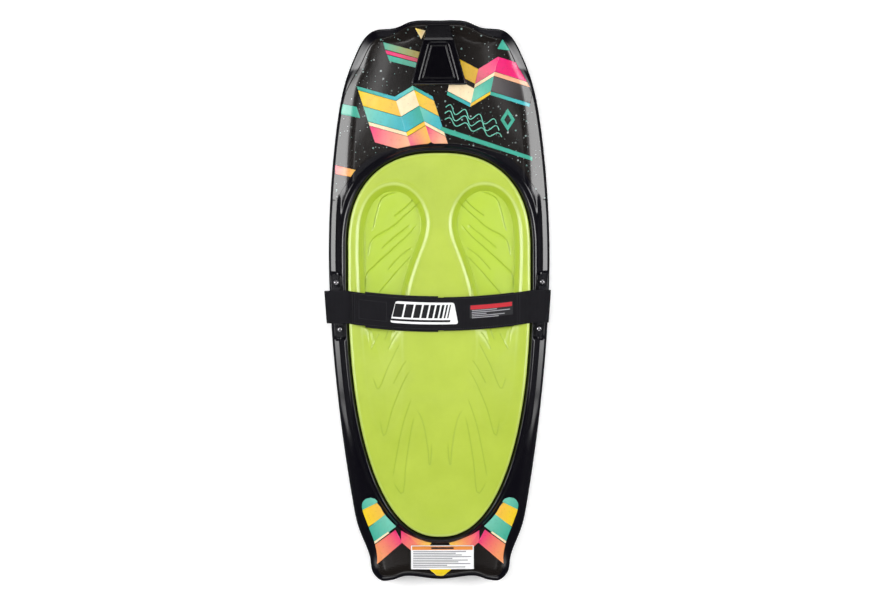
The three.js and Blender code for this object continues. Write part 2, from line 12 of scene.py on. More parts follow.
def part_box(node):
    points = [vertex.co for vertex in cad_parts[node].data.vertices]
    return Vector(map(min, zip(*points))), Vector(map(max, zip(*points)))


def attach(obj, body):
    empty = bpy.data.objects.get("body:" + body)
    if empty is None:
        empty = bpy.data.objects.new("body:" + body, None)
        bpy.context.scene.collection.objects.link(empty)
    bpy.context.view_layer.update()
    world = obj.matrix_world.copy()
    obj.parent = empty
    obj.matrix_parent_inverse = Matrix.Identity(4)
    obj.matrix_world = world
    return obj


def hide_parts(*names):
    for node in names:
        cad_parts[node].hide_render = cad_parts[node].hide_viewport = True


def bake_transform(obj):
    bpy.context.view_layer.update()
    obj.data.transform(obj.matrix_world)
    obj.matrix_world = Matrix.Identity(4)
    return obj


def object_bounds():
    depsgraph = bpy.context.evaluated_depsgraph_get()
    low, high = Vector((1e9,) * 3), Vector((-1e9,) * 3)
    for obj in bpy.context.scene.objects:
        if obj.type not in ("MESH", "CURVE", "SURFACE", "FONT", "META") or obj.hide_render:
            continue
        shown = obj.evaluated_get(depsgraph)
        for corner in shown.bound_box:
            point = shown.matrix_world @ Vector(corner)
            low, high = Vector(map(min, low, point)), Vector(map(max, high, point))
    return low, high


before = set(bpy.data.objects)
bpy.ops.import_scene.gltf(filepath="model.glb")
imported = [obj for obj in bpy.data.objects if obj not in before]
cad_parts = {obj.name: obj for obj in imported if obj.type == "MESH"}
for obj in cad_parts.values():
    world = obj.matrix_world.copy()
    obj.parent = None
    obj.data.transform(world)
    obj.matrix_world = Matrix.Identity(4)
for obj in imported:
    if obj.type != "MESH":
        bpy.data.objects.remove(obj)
bpy.context.view_layer.update()
cad_low, cad_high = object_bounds()

MM = 0.001


def mm(values):
    return np.array(values, float) * MM


# -------- sizes taken from the frame

hull_low, hull_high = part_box("hull_shell")
pad_low, pad_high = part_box("knee_pad")
bracket_low, bracket_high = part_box("right_strap_bracket")
loop_low, loop_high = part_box("right_anchor_loop")
right_strap_low, right_strap_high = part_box("right_strap")
left_strap_low, left_strap_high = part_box("left_strap")

HALF_LENGTH = (hull_high.y - hull_low.y) / 2
HALF_WIDTH = hull_high.x
PAD_LIP = 0.004
PAD_HALF_WIDTH = pad_high.x + PAD_LIP
PAD_FRONT_CENTRE = 0.120
PAD_REAR_CENTRE = 0.060
PAD_FRONT_REACH = pad_high.y - PAD_FRONT_CENTRE
PAD_REAR_REACH = PAD_REAR_CENTRE - pad_low.y
PAD_FRONT_POWER, PAD_REAR_POWER = 2.4, 2.3
PAD_PROUD = 0.010
HINGE_X = 0.215
STRAP_WIDTH = loop_high.y - loop_low.y
STRAP_END_Y = (loop_high.y + loop_low.y) / 2
STRAP_MIDDLE_Y = STRAP_END_Y - 0.017
BRACKET_X = (bracket_low.x + bracket_high.x) / 2
BRACKET_Y = (bracket_low.y + bracket_high.y) / 2
BRACKET_LEAN = 8 / 109


# -------- curves and distances

def smooth(value, start, end):
    share = np.clip((value - start) / (end - start), 0.0, 1.0)
    return share * share * (3.0 - 2.0 * share)


def rounded(distance, reach, power=2.2):
    """Quarter round: 0 at the edge, 1 once the distance passes the reach."""
    share = np.clip(distance / reach, 0.0, 1.0)
    return (1.0 - (1.0 - share) ** power) ** (1.0 / power)


def eased(value, ease):
    """Clipped to 0..1, with the bend at 1 spread over that share of the run on both sides."""
    bend = 1 - (1 + ease - value) ** 2 / (4 * ease)
    return np.where(value > 1 + ease, 1.0, np.where(value > 1 - ease, bend, np.clip(value, 0, 1)))


def window(value, start, full, fading, end):
    """0, up to 1 between start and full, and back to 0 between fading and end."""
    return smooth(value, start, full) * (1 - smooth(value, fading, end))


def bell(value, width):
    """1 at zero, falling off to both sides."""
    return np.exp(-(value / width) ** 2)


def spline(points, per_span, closed):
    """Centripetal Catmull-Rom curve through the points."""
    points = np.asarray(points, float)
    if closed:
        before, after, beyond = (np.roll(points, k, 0) for k in (1, -1, -2))
    else:
        extended = np.vstack([2 * points[0] - points[1], points, 2 * points[-1] - points[-2]])
        before, points, after, beyond = extended[:-3], extended[1:-2], extended[2:-1], extended[3:]
    s = (np.arange(per_span) / per_span)[:, None]
    pieces = []
    for p0, p1, p2, p3 in zip(before, points, after, beyond):
        d0, d1, d2 = (max(math.sqrt(np.linalg.norm(step)), 1e-6) for step in (p1 - p0, p2 - p1, p3 - p2))
        t1 = ((p1 - p0) / d0 - (p2 - p0) / (d0 + d1) + (p2 - p1) / d1) * d1
        t2 = ((p2 - p1) / d1 - (p3 - p1) / (d1 + d2) + (p3 - p2) / d2) * d1
        pieces.append(p1 + t1 * s + (3 * (p2 - p1) - 2 * t1 - t2) * s ** 2
                      + (2 * (p1 - p2) + t1 + t2) * s ** 3)
    if not closed:
        pieces.append(after[-1:])
    return np.vstack(pieces)


def resample(points, count):
    """The same polyline with evenly spaced points."""
    lengths = np.concatenate([[0], np.cumsum(np.linalg.norm(np.diff(points, axis=0), axis=1))])
    wanted = np.linspace(0, lengths[-1], count)
    return np.stack([np.interp(wanted, lengths, points[:, k]) for k in range(points.shape[1])], 1)


def right_of(steps):
    """Unit vectors that point to the right of each step of a line."""
    return np.stack([steps[:, 1], -steps[:, 0]], 1) / np.linalg.norm(steps, axis=1)[:, None]


def curve_tree(points):
    tree = KDTree(len(points))
    for i, point in enumerate(points):
        tree.insert((point[0], point[1], 0.0), i)
    tree.balance()
    return tree


def distance_to(tree, x, y):
    flat = np.stack([np.ravel(x), np.ravel(y)], 1)
    found = np.array([tree.find((px, py, 0.0))[2] for px, py in flat])
    return found.reshape(np.shape(x))


def inside_loop(loop, x, y):
    """True where a point lies inside a closed loop."""
    result = np.zeros(np.shape(x), bool)
    for (ax, ay), (bx, by) in zip(loop, np.roll(loop, -1, 0)):
        if ay == by:
            continue
        crosses = (ay > y) != (by > y)
        result ^= crosses & (x < (bx - ax) * (y - ay) / (by - ay) + ax)
    return result


def rounded_box(across, along, corner):
    """Distance from a rectangle with round corners, given the distances past its sides and its ends."""
    outside = np.hypot(np.clip(across + corner, 0, None), np.clip(along + corner, 0, None)) - corner
    return np.where(outside > -corner, outside, np.maximum(across, along))


# -------- the board's lengthwise lines

def along_board(y, middle, nose, tail):
    """A value that runs from its middle to its nose and tail figures over the last 450 mm."""
    return (middle + (nose - middle) * smooth(y, 0.2, 0.65)
            + (tail - middle) * smooth(-y, 0.2, 0.65))


def keel(y):
    """Height of the underside's middle: flat, with the nose and, less, the tail turned up."""
    nose = np.clip((y - 0.15) / 0.5, 0, None)
    tail = np.clip((-0.25 - y) / 0.4, 0, None)
    return 0.062 * nose ** 2 + 0.030 * tail ** 2


def rail(y):
    """Height of the widest line round the board."""
    return keel(y) + along_board(y, 0.040, 0.022, 0.020)


def deck(x, y):
    """Height of the deck without its ring, pockets and rounded edge."""
    crown = along_board(y, 0.0, 0.010, 0.006) * np.clip(1 - (x / 0.208) ** 2, 0, None)
    return rail(y) + along_board(y, 0.030, 0.014, 0.014) + crown


# -------- plan outlines

OUTLINE_RIGHT = np.vstack([
    [(0, HALF_LENGTH)],
    mm([(60, 649), (100, 634), (148, 628), (170, 612), (196, 565), (222, 492), (244, 352)]),
    [(HALF_WIDTH, 0.143)],
    mm([(251, -66), (231, -276), (206, -450), (192, -520), (165, -590), (157, -630),
        (137, -649), (112, -648), (80, -639), (0, -646)]),
])


def outline_loop(count):
    """Board outline, clockwise from the middle of the nose, the same on both sides."""
    mirrored = OUTLINE_RIGHT[1:-1][::-1] * (-1, 1)
    per_span = 60
    closed = spline(np.vstack([OUTLINE_RIGHT, mirrored]), per_span, True)
    right = resample(closed[:(len(OUTLINE_RIGHT) - 1) * per_span + 1], count // 2 + 1)
    return np.vstack([right, right[1:-1][::-1] * (-1, 1)])


def pad_share(x, y):
    """1 on the pad outline, less inside, more outside."""
    front = np.clip((y - PAD_FRONT_CENTRE) / PAD_FRONT_REACH, 0, None)
    rear = np.clip((PAD_REAR_CENTRE - y) / PAD_REAR_REACH, 0, None)
    power = np.where(y > PAD_FRONT_CENTRE, PAD_FRONT_POWER, PAD_REAR_POWER)
    return (np.abs(x / PAD_HALF_WIDTH) ** power + (front + rear) ** power) ** (1 / power)


def pad_loop(count):
    """Pad outline, anticlockwise from the right side."""
    angle = (np.arange(count) + 0.5) / count * 2 * math.pi
    front = angle < math.pi
    power = 2 / np.where(front, PAD_FRONT_POWER, PAD_REAR_POWER)
    across, along = (np.sign(v) * np.abs(v) ** power for v in (np.cos(angle), np.sin(angle)))
    y = np.where(front, PAD_FRONT_CENTRE + PAD_FRONT_REACH * along,
                 PAD_REAR_CENTRE + PAD_REAR_REACH * along)
    closed = np.stack([PAD_HALF_WIDTH * across, y], 1)
    return resample(np.vstack([closed, closed[:1]]), count + 1)[:-1]


board_tree = curve_tree(outline_loop(6000))
pad_tree = curve_tree(pad_loop(4000))


def board_distance(x, y):
    return distance_to(board_tree, x, y)


def pad_distance(x, y):
    """Positive outside the pad, negative inside."""
    return distance_to(pad_tree, x, y) * np.where(pad_share(x, y) >= 1, 1, -1)


def reach_to_pad(edge, centre):
    """How far along each ray from edge to centre the pad outline lies."""
    near, far = np.zeros(len(edge)), np.ones(len(edge))
    for _ in range(40):
        middle = (near + far) / 2
        point = edge + (centre - edge) * middle[:, None]
        outside = pad_share(point[:, 0], point[:, 1]) > 1
        near, far = np.where(outside, middle, near), np.where(outside, far, middle)
    return near * np.linalg.norm(centre - edge, axis=1)


def rays_inward(edge, rear, front):
    """From each outline point: its target on the centre line, the direction to it and the distance."""
    centre = np.stack([np.zeros(len(edge)), np.clip(edge[:, 1], rear, front)], 1)
    length = np.linalg.norm(centre - edge, axis=1)
    return centre, (centre - edge) / length[:, None], length


# -------- mesh helpers

def link_mesh(name, mesh, material, smooth_faces=True):
    """Puts a finished mesh into the scene with its material."""
    mesh.materials.append(material)
    mesh.polygons.foreach_set("use_smooth", [smooth_faces] * len(mesh.polygons))
    obj = bpy.data.objects.new(name, mesh)
    bpy.context.scene.collection.objects.link(obj)
    return obj


def make_object(name, vertices, faces, material, marks=None):
    """Welded mesh from points and faces; marks are values per point that its material reads."""
    mesh = bpy.data.meshes.new(name)
    mesh.from_pydata(np.asarray(vertices).tolist(), [], faces)
    for mark, values in (marks or {}).items():
        mesh.attributes.new(mark, "FLOAT", "POINT").data.foreach_set("value", values)
    work = bmesh.new()
    work.from_mesh(mesh)
    bmesh.ops.remove_doubles(work, verts=work.verts, dist=1e-6)
    bmesh.ops.recalc_face_normals(work, faces=work.faces)
    work.to_mesh(mesh)
    work.free()
    return link_mesh(name, mesh, material)


def grid_faces(rows, columns, start=0, wrap=True):
    faces = []
    for i in range(rows - 1):
        for j in range(columns if wrap else columns - 1):
            k = (j + 1) % columns
            a, b = start + i * columns, start + (i + 1) * columns
            faces.append((a + j, b + j, b + k, a + k))
    return faces


def grid_object(name, rows, material, marks=None):
    """Mesh through rows of points, each row a closed ring."""
    rows = np.asarray(rows, float)
    return make_object(name, rows.reshape(-1, 3), grid_faces(*rows.shape[:2]), material, marks)


def capped_tube(name, rings, material):
    """Closed body through rings of points with a flat face at both ends."""
    rings = np.asarray(rings, float)
    count, around = rings.shape[:2]
    ends = [tuple(range(around)), tuple(range((count - 1) * around, count * around))]
    return make_object(name, rings.reshape(-1, 3), grid_faces(count, around) + ends, material)


def at_height(points, height):
    """Plan points raised to one height or to one for each of them."""
    return np.column_stack([points, np.broadcast_to(height, len(points))])


def lifted(spots, height):
    """Plan points raised to the height that a function gives for them."""
    return np.concatenate([spots, height(spots[..., 0], spots[..., 1])[..., None]], -1)


def piece(obj, slot, *nodes, body="board"):
    """Hides the CAD nodes that a new object stands for and hangs it on the body it rides; slot is not used.
    """
    if nodes:
        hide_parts(*nodes)
    if body:
        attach(obj, body)


def soften_edges(obj, width):
    """Rounds the hard edges of a body with modifiers, leaving its own mesh as it is."""
    for name, kind, settings in (
        ("weld", "WELD", {"merge_threshold": 1e-5}),
        ("flat", "DECIMATE", {"decimate_type": "DISSOLVE", "angle_limit": math.radians(1.5)}),
        ("bevel", "BEVEL", {"width": width, "segments": 3, "limit_method": "ANGLE",
                            "angle_limit": math.radians(28), "harden_normals": False}),
        ("normals", "WEIGHTED_NORMAL", {"keep_sharp": False}),
    ):
        modifier = obj.modifiers.new(name, kind)
        for key, value in settings.items():
            setattr(modifier, key, value)
    obj.data.polygons.foreach_set("use_smooth", [True] * len(obj.data.polygons))


# -------- material helpers

def set_inputs(tree, node, inputs):
    """Gives each input its value, or a link where the value is another node's output."""
    for key, value in inputs.items():
        socket = node.inputs[key]
        if hasattr(value, "is_output"):
            tree.links.new(value, socket)
        else:
            socket.default_value = (*value, 1) if socket.type == "RGBA" else value


def add_node(tree, kind, inputs=None, **settings):
    made = tree.nodes.new(kind)
    for key, value in settings.items():
        setattr(made, key, value)
    set_inputs(tree, made, inputs or {})
    return made


def scaled(colour, factor):
    return tuple(c * factor for c in colour)


class Shader:
    """A material with its node tree and a few short ways to add to it."""

    def __init__(self, name, colour, roughness, metallic=0.0):
        self.material = bpy.data.materials.new(name)
        self.material.use_nodes = True
        self.material.diffuse_color = (*colour, 1)
        self.tree = self.material.node_tree
        self.surface = self.tree.nodes["Principled BSDF"]
        self.height = None
        self.finish(Base_Color=colour, Roughness=roughness, Metallic=metallic)

    def finish(self, **values):
        """Sets the surface's inputs, named with _ for each space, and returns the material."""
        inputs = {key.replace("_", " "): value for key, value in values.items()}
        set_inputs(self.tree, self.surface, inputs)
        return self.material

    def node(self, kind, inputs=None, **settings):
        return add_node(self.tree, kind, inputs, **settings)

    def place(self, stretch):
        spot = self.node("ShaderNodeTexCoord").outputs["Object"]
        return self.node("ShaderNodeMapping", {"Vector": spot, "Scale": stretch}).outputs[0]

    def noise(self, scale, detail, roughness=0.5, stretch=(1, 1, 1)):
        inputs = {"Vector": self.place(stretch), "Scale": scale, "Detail": detail, "Roughness": roughness}
        return self.node("ShaderNodeTexNoise", inputs).outputs["Fac"]

    def cells(self, scale, stretch=(1, 1, 1), **settings):
        inputs = {"Vector": self.place(stretch), "Scale": scale}
        return self.node("ShaderNodeTexVoronoi", inputs, **settings)

    def attribute(self, name, output="Fac"):
        return self.node("ShaderNodeAttribute", attribute_name=name).outputs[output]

    def ramp(self, value, low, high, start=0.0, end=1.0):
        inputs = {"Value": value, "From Min": start, "From Max": end, "To Min": low, "To Max": high}
        return self.node("ShaderNodeMapRange", inputs).outputs[0]

    def maths(self, operation, first, second):
        return self.node("ShaderNodeMath", {0: first, 1: second}, operation=operation).outputs[0]

    def mix(self, factor, first, second, blend="MIX"):
        return self.node("ShaderNodeMix", {0: factor, 6: first, 7: second}, data_type="RGBA",
                         blend_type=blend).outputs[2]

    def multiplied(self, colour, tint):
        return self.mix(1.0, colour, tint, "MULTIPLY")

    def bump(self, height, distance, strength=1.0):
        inputs = {"Height": height, "Distance": distance, "Strength": strength}
        if self.height is not None:
            inputs["Normal"] = self.height
        self.height = self.node("ShaderNodeBump", inputs).outputs[0]
        self.tree.links.new(self.height, self.surface.inputs["Normal"])


# -------- materials

def hull_plastic():
    """Black moulded polyethylene: faint orange peel, fine handling scratches, dusty low spots."""
    s = Shader("hull_plastic", (0.0025, 0.002, 0.004), 0.2)
    cloud = s.noise(7, 4)
    scratches = s.ramp(s.noise(260, 2, stretch=(1, 0.06, 1)), 0, 0.10, 0.6, 0.8)
    s.bump(s.noise(420, 2), 0.00004)
    return s.finish(Base_Color=s.mix(cloud, (0.0015, 0.0012, 0.003), (0.0045, 0.004, 0.007)),
                    Roughness=s.maths("ADD", s.ramp(cloud, 0.14, 0.22), scratches),
                    Coat_Weight=0.3, Coat_Roughness=0.08)


def printed_film(s, colour, roughness):
    """Finish that the dark field and the coloured ink of the printed panels share."""
    s.bump(s.noise(420, 2), 0.00003)
    return s.finish(Base_Color=colour, Roughness=roughness, Coat_Weight=0.4, Coat_Roughness=0.06)


def printed_dark(name, specks):
    """Dark field of a printed panel, dusted with pale teal and white specks.

    Each kind of speck is (cells per metre, radius as a share of its cell, share of cells left empty).
    """
    s = Shader(name, (0.022, 0.020, 0.022), 0.22)
    field = s.mix(s.noise(14, 5), (0.0050, 0.0040, 0.0040), (0.0140, 0.0110, 0.0090))
    for scale, size, empty in specks:
        cells = s.cells(scale, (1, 1, 0), voronoi_dimensions="2D")
        set_inputs(s.tree, cells, {"Randomness": 0.9})
        dot = s.ramp(cells.outputs["Distance"], 1.0, 0.0, size * 0.35, size)
        split = s.node("ShaderNodeSeparateColor", {"Color": cells.outputs["Color"]})
        chosen = s.maths("MULTIPLY", dot, s.maths("GREATER_THAN", split.outputs["Red"], empty))
        tint = s.mix(split.outputs["Green"], (0.20, 0.42, 0.38), (0.55, 0.58, 0.58))
        field = s.mix(s.maths("MULTIPLY", chosen, split.outputs["Blue"]), field, tint)
    return printed_film(s, field, s.ramp(s.noise(9, 4), 0.16, 0.26))


def printed_ink():
    """Coloured stripes of the print; the tint comes with the mesh, brushed streaks come from noise."""
    s = Shader("printed_ink", (0.8, 0.5, 0.2), 0.24)
    tint = s.attribute("ink", "Color")
    streak = s.ramp(s.noise(46, 6, 0.65, stretch=(1, 0.28, 1)), 0.0, 0.5, 0.42, 0.72)
    worn = s.noise(150, 4, 0.7)
    shaded = s.mix(streak, tint, s.multiplied(tint, (1.0, 0.80, 0.62)))
    bleached = s.ramp(s.noise(13, 3), 0.0, 0.35, 0.45, 0.7)
    faded = s.mix(bleached, shaded, s.multiplied(tint, (1.25, 1.2, 1.3)))
    rubbed = s.mix(s.ramp(worn, 0.0, 0.6, 0.56, 0.8), faded, s.multiplied(tint, (0.45, 0.42, 0.4)))
    return printed_film(s, rubbed, s.ramp(worn, 0.18, 0.32))


def pad_foam():
    """Moulded lime EVA: mottling, skin grain, painted brighter wells, painted shade in the cuts, painted
    highlight on the lips.
    """
    s = Shader("pad_foam", (0.47, 0.66, 0.06), 0.5)
    mottling = s.ramp(s.noise(11, 5, 0.6), 0, 1, 0.3, 0.7)
    colour = s.mix(mottling, (0.415, 0.540, 0.036), (0.475, 0.605, 0.050))
    # painted light: depth paints the knee wells brighter, line paints shade in the cuts, lip paints a
    # highlight on the lips and pad edge
    for mark, strength, tint in (("depth", 0.75, (0.46, 0.640, 0.036)), ("line", 0.45, (0.25, 0.38, 0.015)),
                                 ("lip", 0.5, (0.66, 0.80, 0.27))):
        colour = s.mix(s.ramp(s.attribute(mark), 0, strength), colour, tint)
    pores = s.ramp(s.noise(900, 3), 0, 0.18, 0.5, 0.8)
    s.bump(s.cells(700).outputs["Distance"], 0.00010, 0.5)
    s.bump(s.noise(160, 4), 0.00015, 0.5)
    return s.finish(Base_Color=s.mix(pores, colour, (0.30, 0.45, 0.03)),
                    Roughness=s.ramp(s.noise(30, 4), 0.30, 0.42), Coat_Weight=0.7, Coat_Roughness=0.28)


def woven(name, colour, pitch, depth, sheen):
    """Webbing: ribs across the strip and fine yarns along it."""
    s = Shader(name, colour, 0.75)

    def threads(axis, stretch, per_metre, distortion, fineness):
        return s.node("ShaderNodeTexWave", {"Vector": s.place(stretch), "Scale": per_metre, "Detail": 2.0,
                                            "Distortion": distortion, "Detail Scale": fineness},
                      bands_direction=axis).outputs["Fac"]

    weave = s.maths("MULTIPLY", threads("X", (1, 0, 0), 1 / pitch / 6.283, 0.6, 8.0),
                    threads("Y", (0, 1, 0), 1 / pitch / 5.0, 1.0, 9.0))
    fade = s.mix(s.ramp(s.noise(26, 5), 0, 1, 0.35, 0.75), colour, scaled(colour, 1.35))
    s.bump(weave, depth)
    s.bump(s.noise(900, 3), depth * 0.5, 0.6)
    return s.finish(Base_Color=s.mix(s.ramp(weave, 0, 0.55), fade, scaled(colour, 1.6)),
                    Roughness=s.ramp(weave, 0.86, 0.62), Sheen_Weight=sheen, Sheen_Roughness=0.4,
                    Specular_IOR_Level=0.3)


def neoprene():
    """Knitted face of the padding under the strap."""
    s = Shader("neoprene", (0.012, 0.011, 0.015), 0.8)
    knit = s.cells(620, (1, 0.7, 1)).outputs["Distance"]
    s.bump(knit, 0.00018)
    s.bump(s.noise(60, 3), 0.0003, 0.4)
    return s.finish(Base_Color=s.mix(s.ramp(knit, 0, 0.6), (0.005, 0.0045, 0.007), (0.014, 0.013, 0.017)),
                    Sheen_Weight=0.15, Specular_IOR_Level=0.3)


def fastener_tape(name, scale, depth):
    """Hook-and-loop face: a dense pile of tiny hooks or loops."""
    s = Shader(name, (0.011, 0.010, 0.012), 0.9)
    pile = s.cells(scale, feature="SMOOTH_F1").outputs["Distance"]
    s.bump(pile, depth)
    colour = s.mix(s.ramp(pile, 0.7, 0, 0.0, 0.5), (0.008, 0.007, 0.009), (0.040, 0.038, 0.043))
    return s.finish(Base_Color=colour, Sheen_Weight=0.5)


def printed_cloth(name, colour, roughness=0.7):
    s = Shader(name, colour, roughness)
    weave = s.noise(1500, 2)
    s.bump(weave, 0.00006)
    return s.finish(Base_Color=s.mix(s.ramp(weave, 0, 0.35, 0.4, 0.7), colour, scaled(colour, 0.72)),
                    Roughness=s.ramp(s.noise(70, 3), roughness - 0.08, roughness + 0.08))


def moulded_black(name, colour, roughness):
    s = Shader(name, colour, roughness)
    s.bump(s.noise(500, 2), 0.00003)
    return s.finish(Base_Color=s.mix(s.noise(22, 4), colour, scaled(colour, 1.7)),
                    Roughness=s.ramp(s.noise(35, 4), roughness * 0.75, roughness * 1.35),
                    Coat_Weight=0.35, Coat_Roughness=0.05)


def brushed_metal(name, colour, roughness):
    s = Shader(name, colour, roughness, 1.0)
    grain = s.noise(900, 3, stretch=(1, 0.12, 1))
    s.bump(grain, 0.00003)
    return s.finish(Base_Color=s.mix(s.noise(180, 3), colour, scaled(colour, 0.75)),
                    Roughness=s.ramp(grain, roughness * 0.7, roughness * 1.4))


def seal_rubber():
    s = Shader("seal_rubber", (0.012, 0.012, 0.013), 0.7)
    s.bump(s.noise(600, 2), 0.00005)
    return s.finish(Roughness=s.ramp(s.noise(120, 3), 0.6, 0.8))


def core_foam():
    s = Shader("core_foam", (0.80, 0.74, 0.58), 0.9)
    cells = s.cells(500).outputs["Distance"]
    s.bump(cells, 0.0004)
    return s.finish(Base_Color=s.mix(cells, (0.82, 0.76, 0.60), (0.68, 0.60, 0.42)))


HULL = hull_plastic()
NOSE_DARK = printed_dark("nose_dark", ((48, 0.13, 0.60), (110, 0.15, 0.75)))
TAIL_DARK = printed_dark("tail_dark", ())
PRINT_INK = printed_ink()
PAD = pad_foam()
WEBBING = woven("webbing", (0.0036, 0.0033, 0.0054), 0.0016, 0.00035, 0.05)
NEOPRENE = neoprene()
LOOP_TAPE = fastener_tape("loop_tape", 900.0, 0.0004)
HOOK_TAPE = fastener_tape("hook_tape", 560.0, 0.0006)
THREAD = printed_cloth("thread", (0.035, 0.034, 0.040))
BADGE_BLACK = woven("badge_black", (0.010, 0.010, 0.011), 0.0006, 0.0001, 0.1)
BADGE_WHITE = printed_cloth("badge_white", (0.95, 0.95, 0.95))
LABEL_RED = printed_cloth("label_red", (0.55, 0.018, 0.030))
LABEL_GREY = printed_cloth("label_grey", (0.36, 0.36, 0.38))
LABEL_BLACK = printed_cloth("label_black", (0.014, 0.014, 0.017))
FILM_WHITE = printed_cloth("film_white", (0.93, 0.93, 0.94), 0.4)
FILM_ORANGE = printed_cloth("film_orange", (0.80, 0.26, 0.035), 0.4)
FILM_GREY = printed_cloth("film_grey", (0.20, 0.20, 0.22), 0.4)
HOOK_PLASTIC = moulded_black("hook_plastic", (0.0012, 0.001, 0.002), 0.16)
BRACKET_PLASTIC = moulded_black("bracket_plastic", (0.006, 0.006, 0.008), 0.24)
STEEL = brushed_metal("steel", (0.60, 0.59, 0.61), 0.24)
BLACK_STEEL = brushed_metal("black_steel", (0.020, 0.020, 0.022), 0.4)
BRASS = brushed_metal("brass", (0.62, 0.45, 0.17), 0.3)
SEAL = seal_rubber()
CORE_FOAM = core_foam()


# -------- hull surface

RAY_COUNT = 1000
RING_HEIGHT = 0.0085
SEAT_HEIGHT = 0.064
SEAT_HALF_WIDTH, SEAT_HALF_LENGTH = 0.0135, 0.076
SHOULDER_SLOPE = math.radians(22)
FIN_X, FIN_HALF_WIDTH, FIN_HEIGHT = 0.118, 0.0075, 0.012
CHANNEL_X, CHANNEL_WIDTH, CHANNEL_DEPTH = 0.085, 0.016, 0.006


def ring_width(y):
    """Width of the raised ring round the pad, given where on the pad outline it is."""
    return 0.026 - 0.006 * smooth(y, 0.29, 0.345) - 0.008 * smooth(-y, 0.34, 0.548)


def edge_reach(y):
    """How far in from the outline the rail's shoulder runs; the nose sides are wider."""
    return 0.022 + 0.022 * window(y, 0.20, 0.30, 0.46, 0.55) + 0.010 * smooth(-y, 0.2, 0.4)


def seat_depth(x, y):
    """1 on the floor of the pockets that the strap brackets sit in, 0 outside them."""
    across = np.abs(np.abs(x) - BRACKET_X - BRACKET_LEAN * (y - BRACKET_Y)) - SEAT_HALF_WIDTH
    along = np.abs(y - BRACKET_Y) - SEAT_HALF_LENGTH
    return 1 - smooth(rounded_box(across, along, 0.006), -0.001, 0.0015)


def rail_share(from_board, y):
    """Rise from the edge, 0, to the deck, 1, across the rail: stepped in front, rounded at the tail."""
    ledge = (0.46 * rounded(from_board, 0.0055, 1.8) + 0.15 * np.clip((from_board - 0.0045) / 0.010, 0, 1)
             + 0.39 * smooth(from_board, 0.0135, 0.0285))
    plain = rounded(from_board, edge_reach(y))
    return plain + (ledge - plain) * (1 - smooth(-y, 0.22, 0.36))


def shoulder_share(from_board, y, rise):
    """The same rise across the bevelled shoulders of the nose."""
    crease = 0.006 + 0.013 * smooth(y, 0.50, 0.60)
    knee = np.clip(0.74 * crease / rise, 0.50, 0.96)
    run = (1 - knee) * rise / math.tan(SHOULDER_SLOPE)
    bevel = 0.3 * rounded(from_board, 0.0035) + 0.7 * np.clip(from_board / crease, 0, 1)
    return knee * bevel + (1 - knee) * eased((from_board - crease) / run, 0.45)


def top_height(x, y):
    """Height of the hull's upper skin outside the pad."""
    from_board, from_pad = board_distance(x, y), pad_distance(x, y)
    edge = rail(y) + 0.002
    rise = deck(x, y) - edge
    side = rail_share(from_board, y)
    slope = shoulder_share(from_board, y, np.maximum(rise, 0.004))
    share = side + (slope - side) * smooth(y, 0.20, 0.27)
    width = ring_width(np.clip(y, pad_low.y, pad_high.y))
    ring = window(from_pad, 0.001, 0.007, 0.4 * width, 0.97 * width)
    height = edge + rise * share + RING_HEIGHT * ring
    return height + (SEAT_HEIGHT - height) * np.clip(seat_depth(x, y), 0, 1)


def bottom_height(x, y):
    """Underside: flat in the middle, rounded chines, two shallow channels and two tail fins."""
    edge = rail(y) - 0.002
    base = edge - (edge - keel(y)) * rounded(board_distance(x, y), 0.046)
    channel = bell(np.abs(x) - CHANNEL_X, CHANNEL_WIDTH) * window(-y, 0.24, 0.34, 0.585, 0.63)
    into_fin = FIN_HALF_WIDTH - np.abs(np.abs(x) - FIN_X)
    fin = rounded(into_fin, FIN_HALF_WIDTH) * window(-y, 0.475, 0.55, 0.598, 0.610)
    return base + CHANNEL_DEPTH * channel - FIN_HEIGHT * np.where(into_fin > 0, fin, 0)


def pad_floor(y):
    """Bottom of the recess that the pad lies in."""
    return deck(np.zeros_like(y), y) - 0.028 + 0.016 * smooth(-y, 0.15, 0.42)


def board_rays(rear, front):
    """For each outline point: the point, its target, inward ray and its length, and the ray's lean."""
    edge = outline_loop(RAY_COUNT)
    centre, ray, length = rays_inward(edge, rear, front)
    inward = right_of(np.roll(edge, -1, 0) - np.roll(edge, 1, 0))
    return edge, centre, ray, length, np.clip(np.sum(inward * ray, 1), 0.5, 1)


def pad_edge_lean(touch, ray):
    """How squarely each ray meets the pad outline: 1 where it does, less where it grazes it."""
    step = 1e-4
    slope_x, slope_y = (pad_share(*(touch + shift).T) - pad_share(*(touch - shift).T)
                        for shift in ((step, 0), (0, step)))
    return np.clip(-(slope_x * ray[:, 0] + slope_y * ray[:, 1]) / np.hypot(slope_x, slope_y), 0.4, 1)


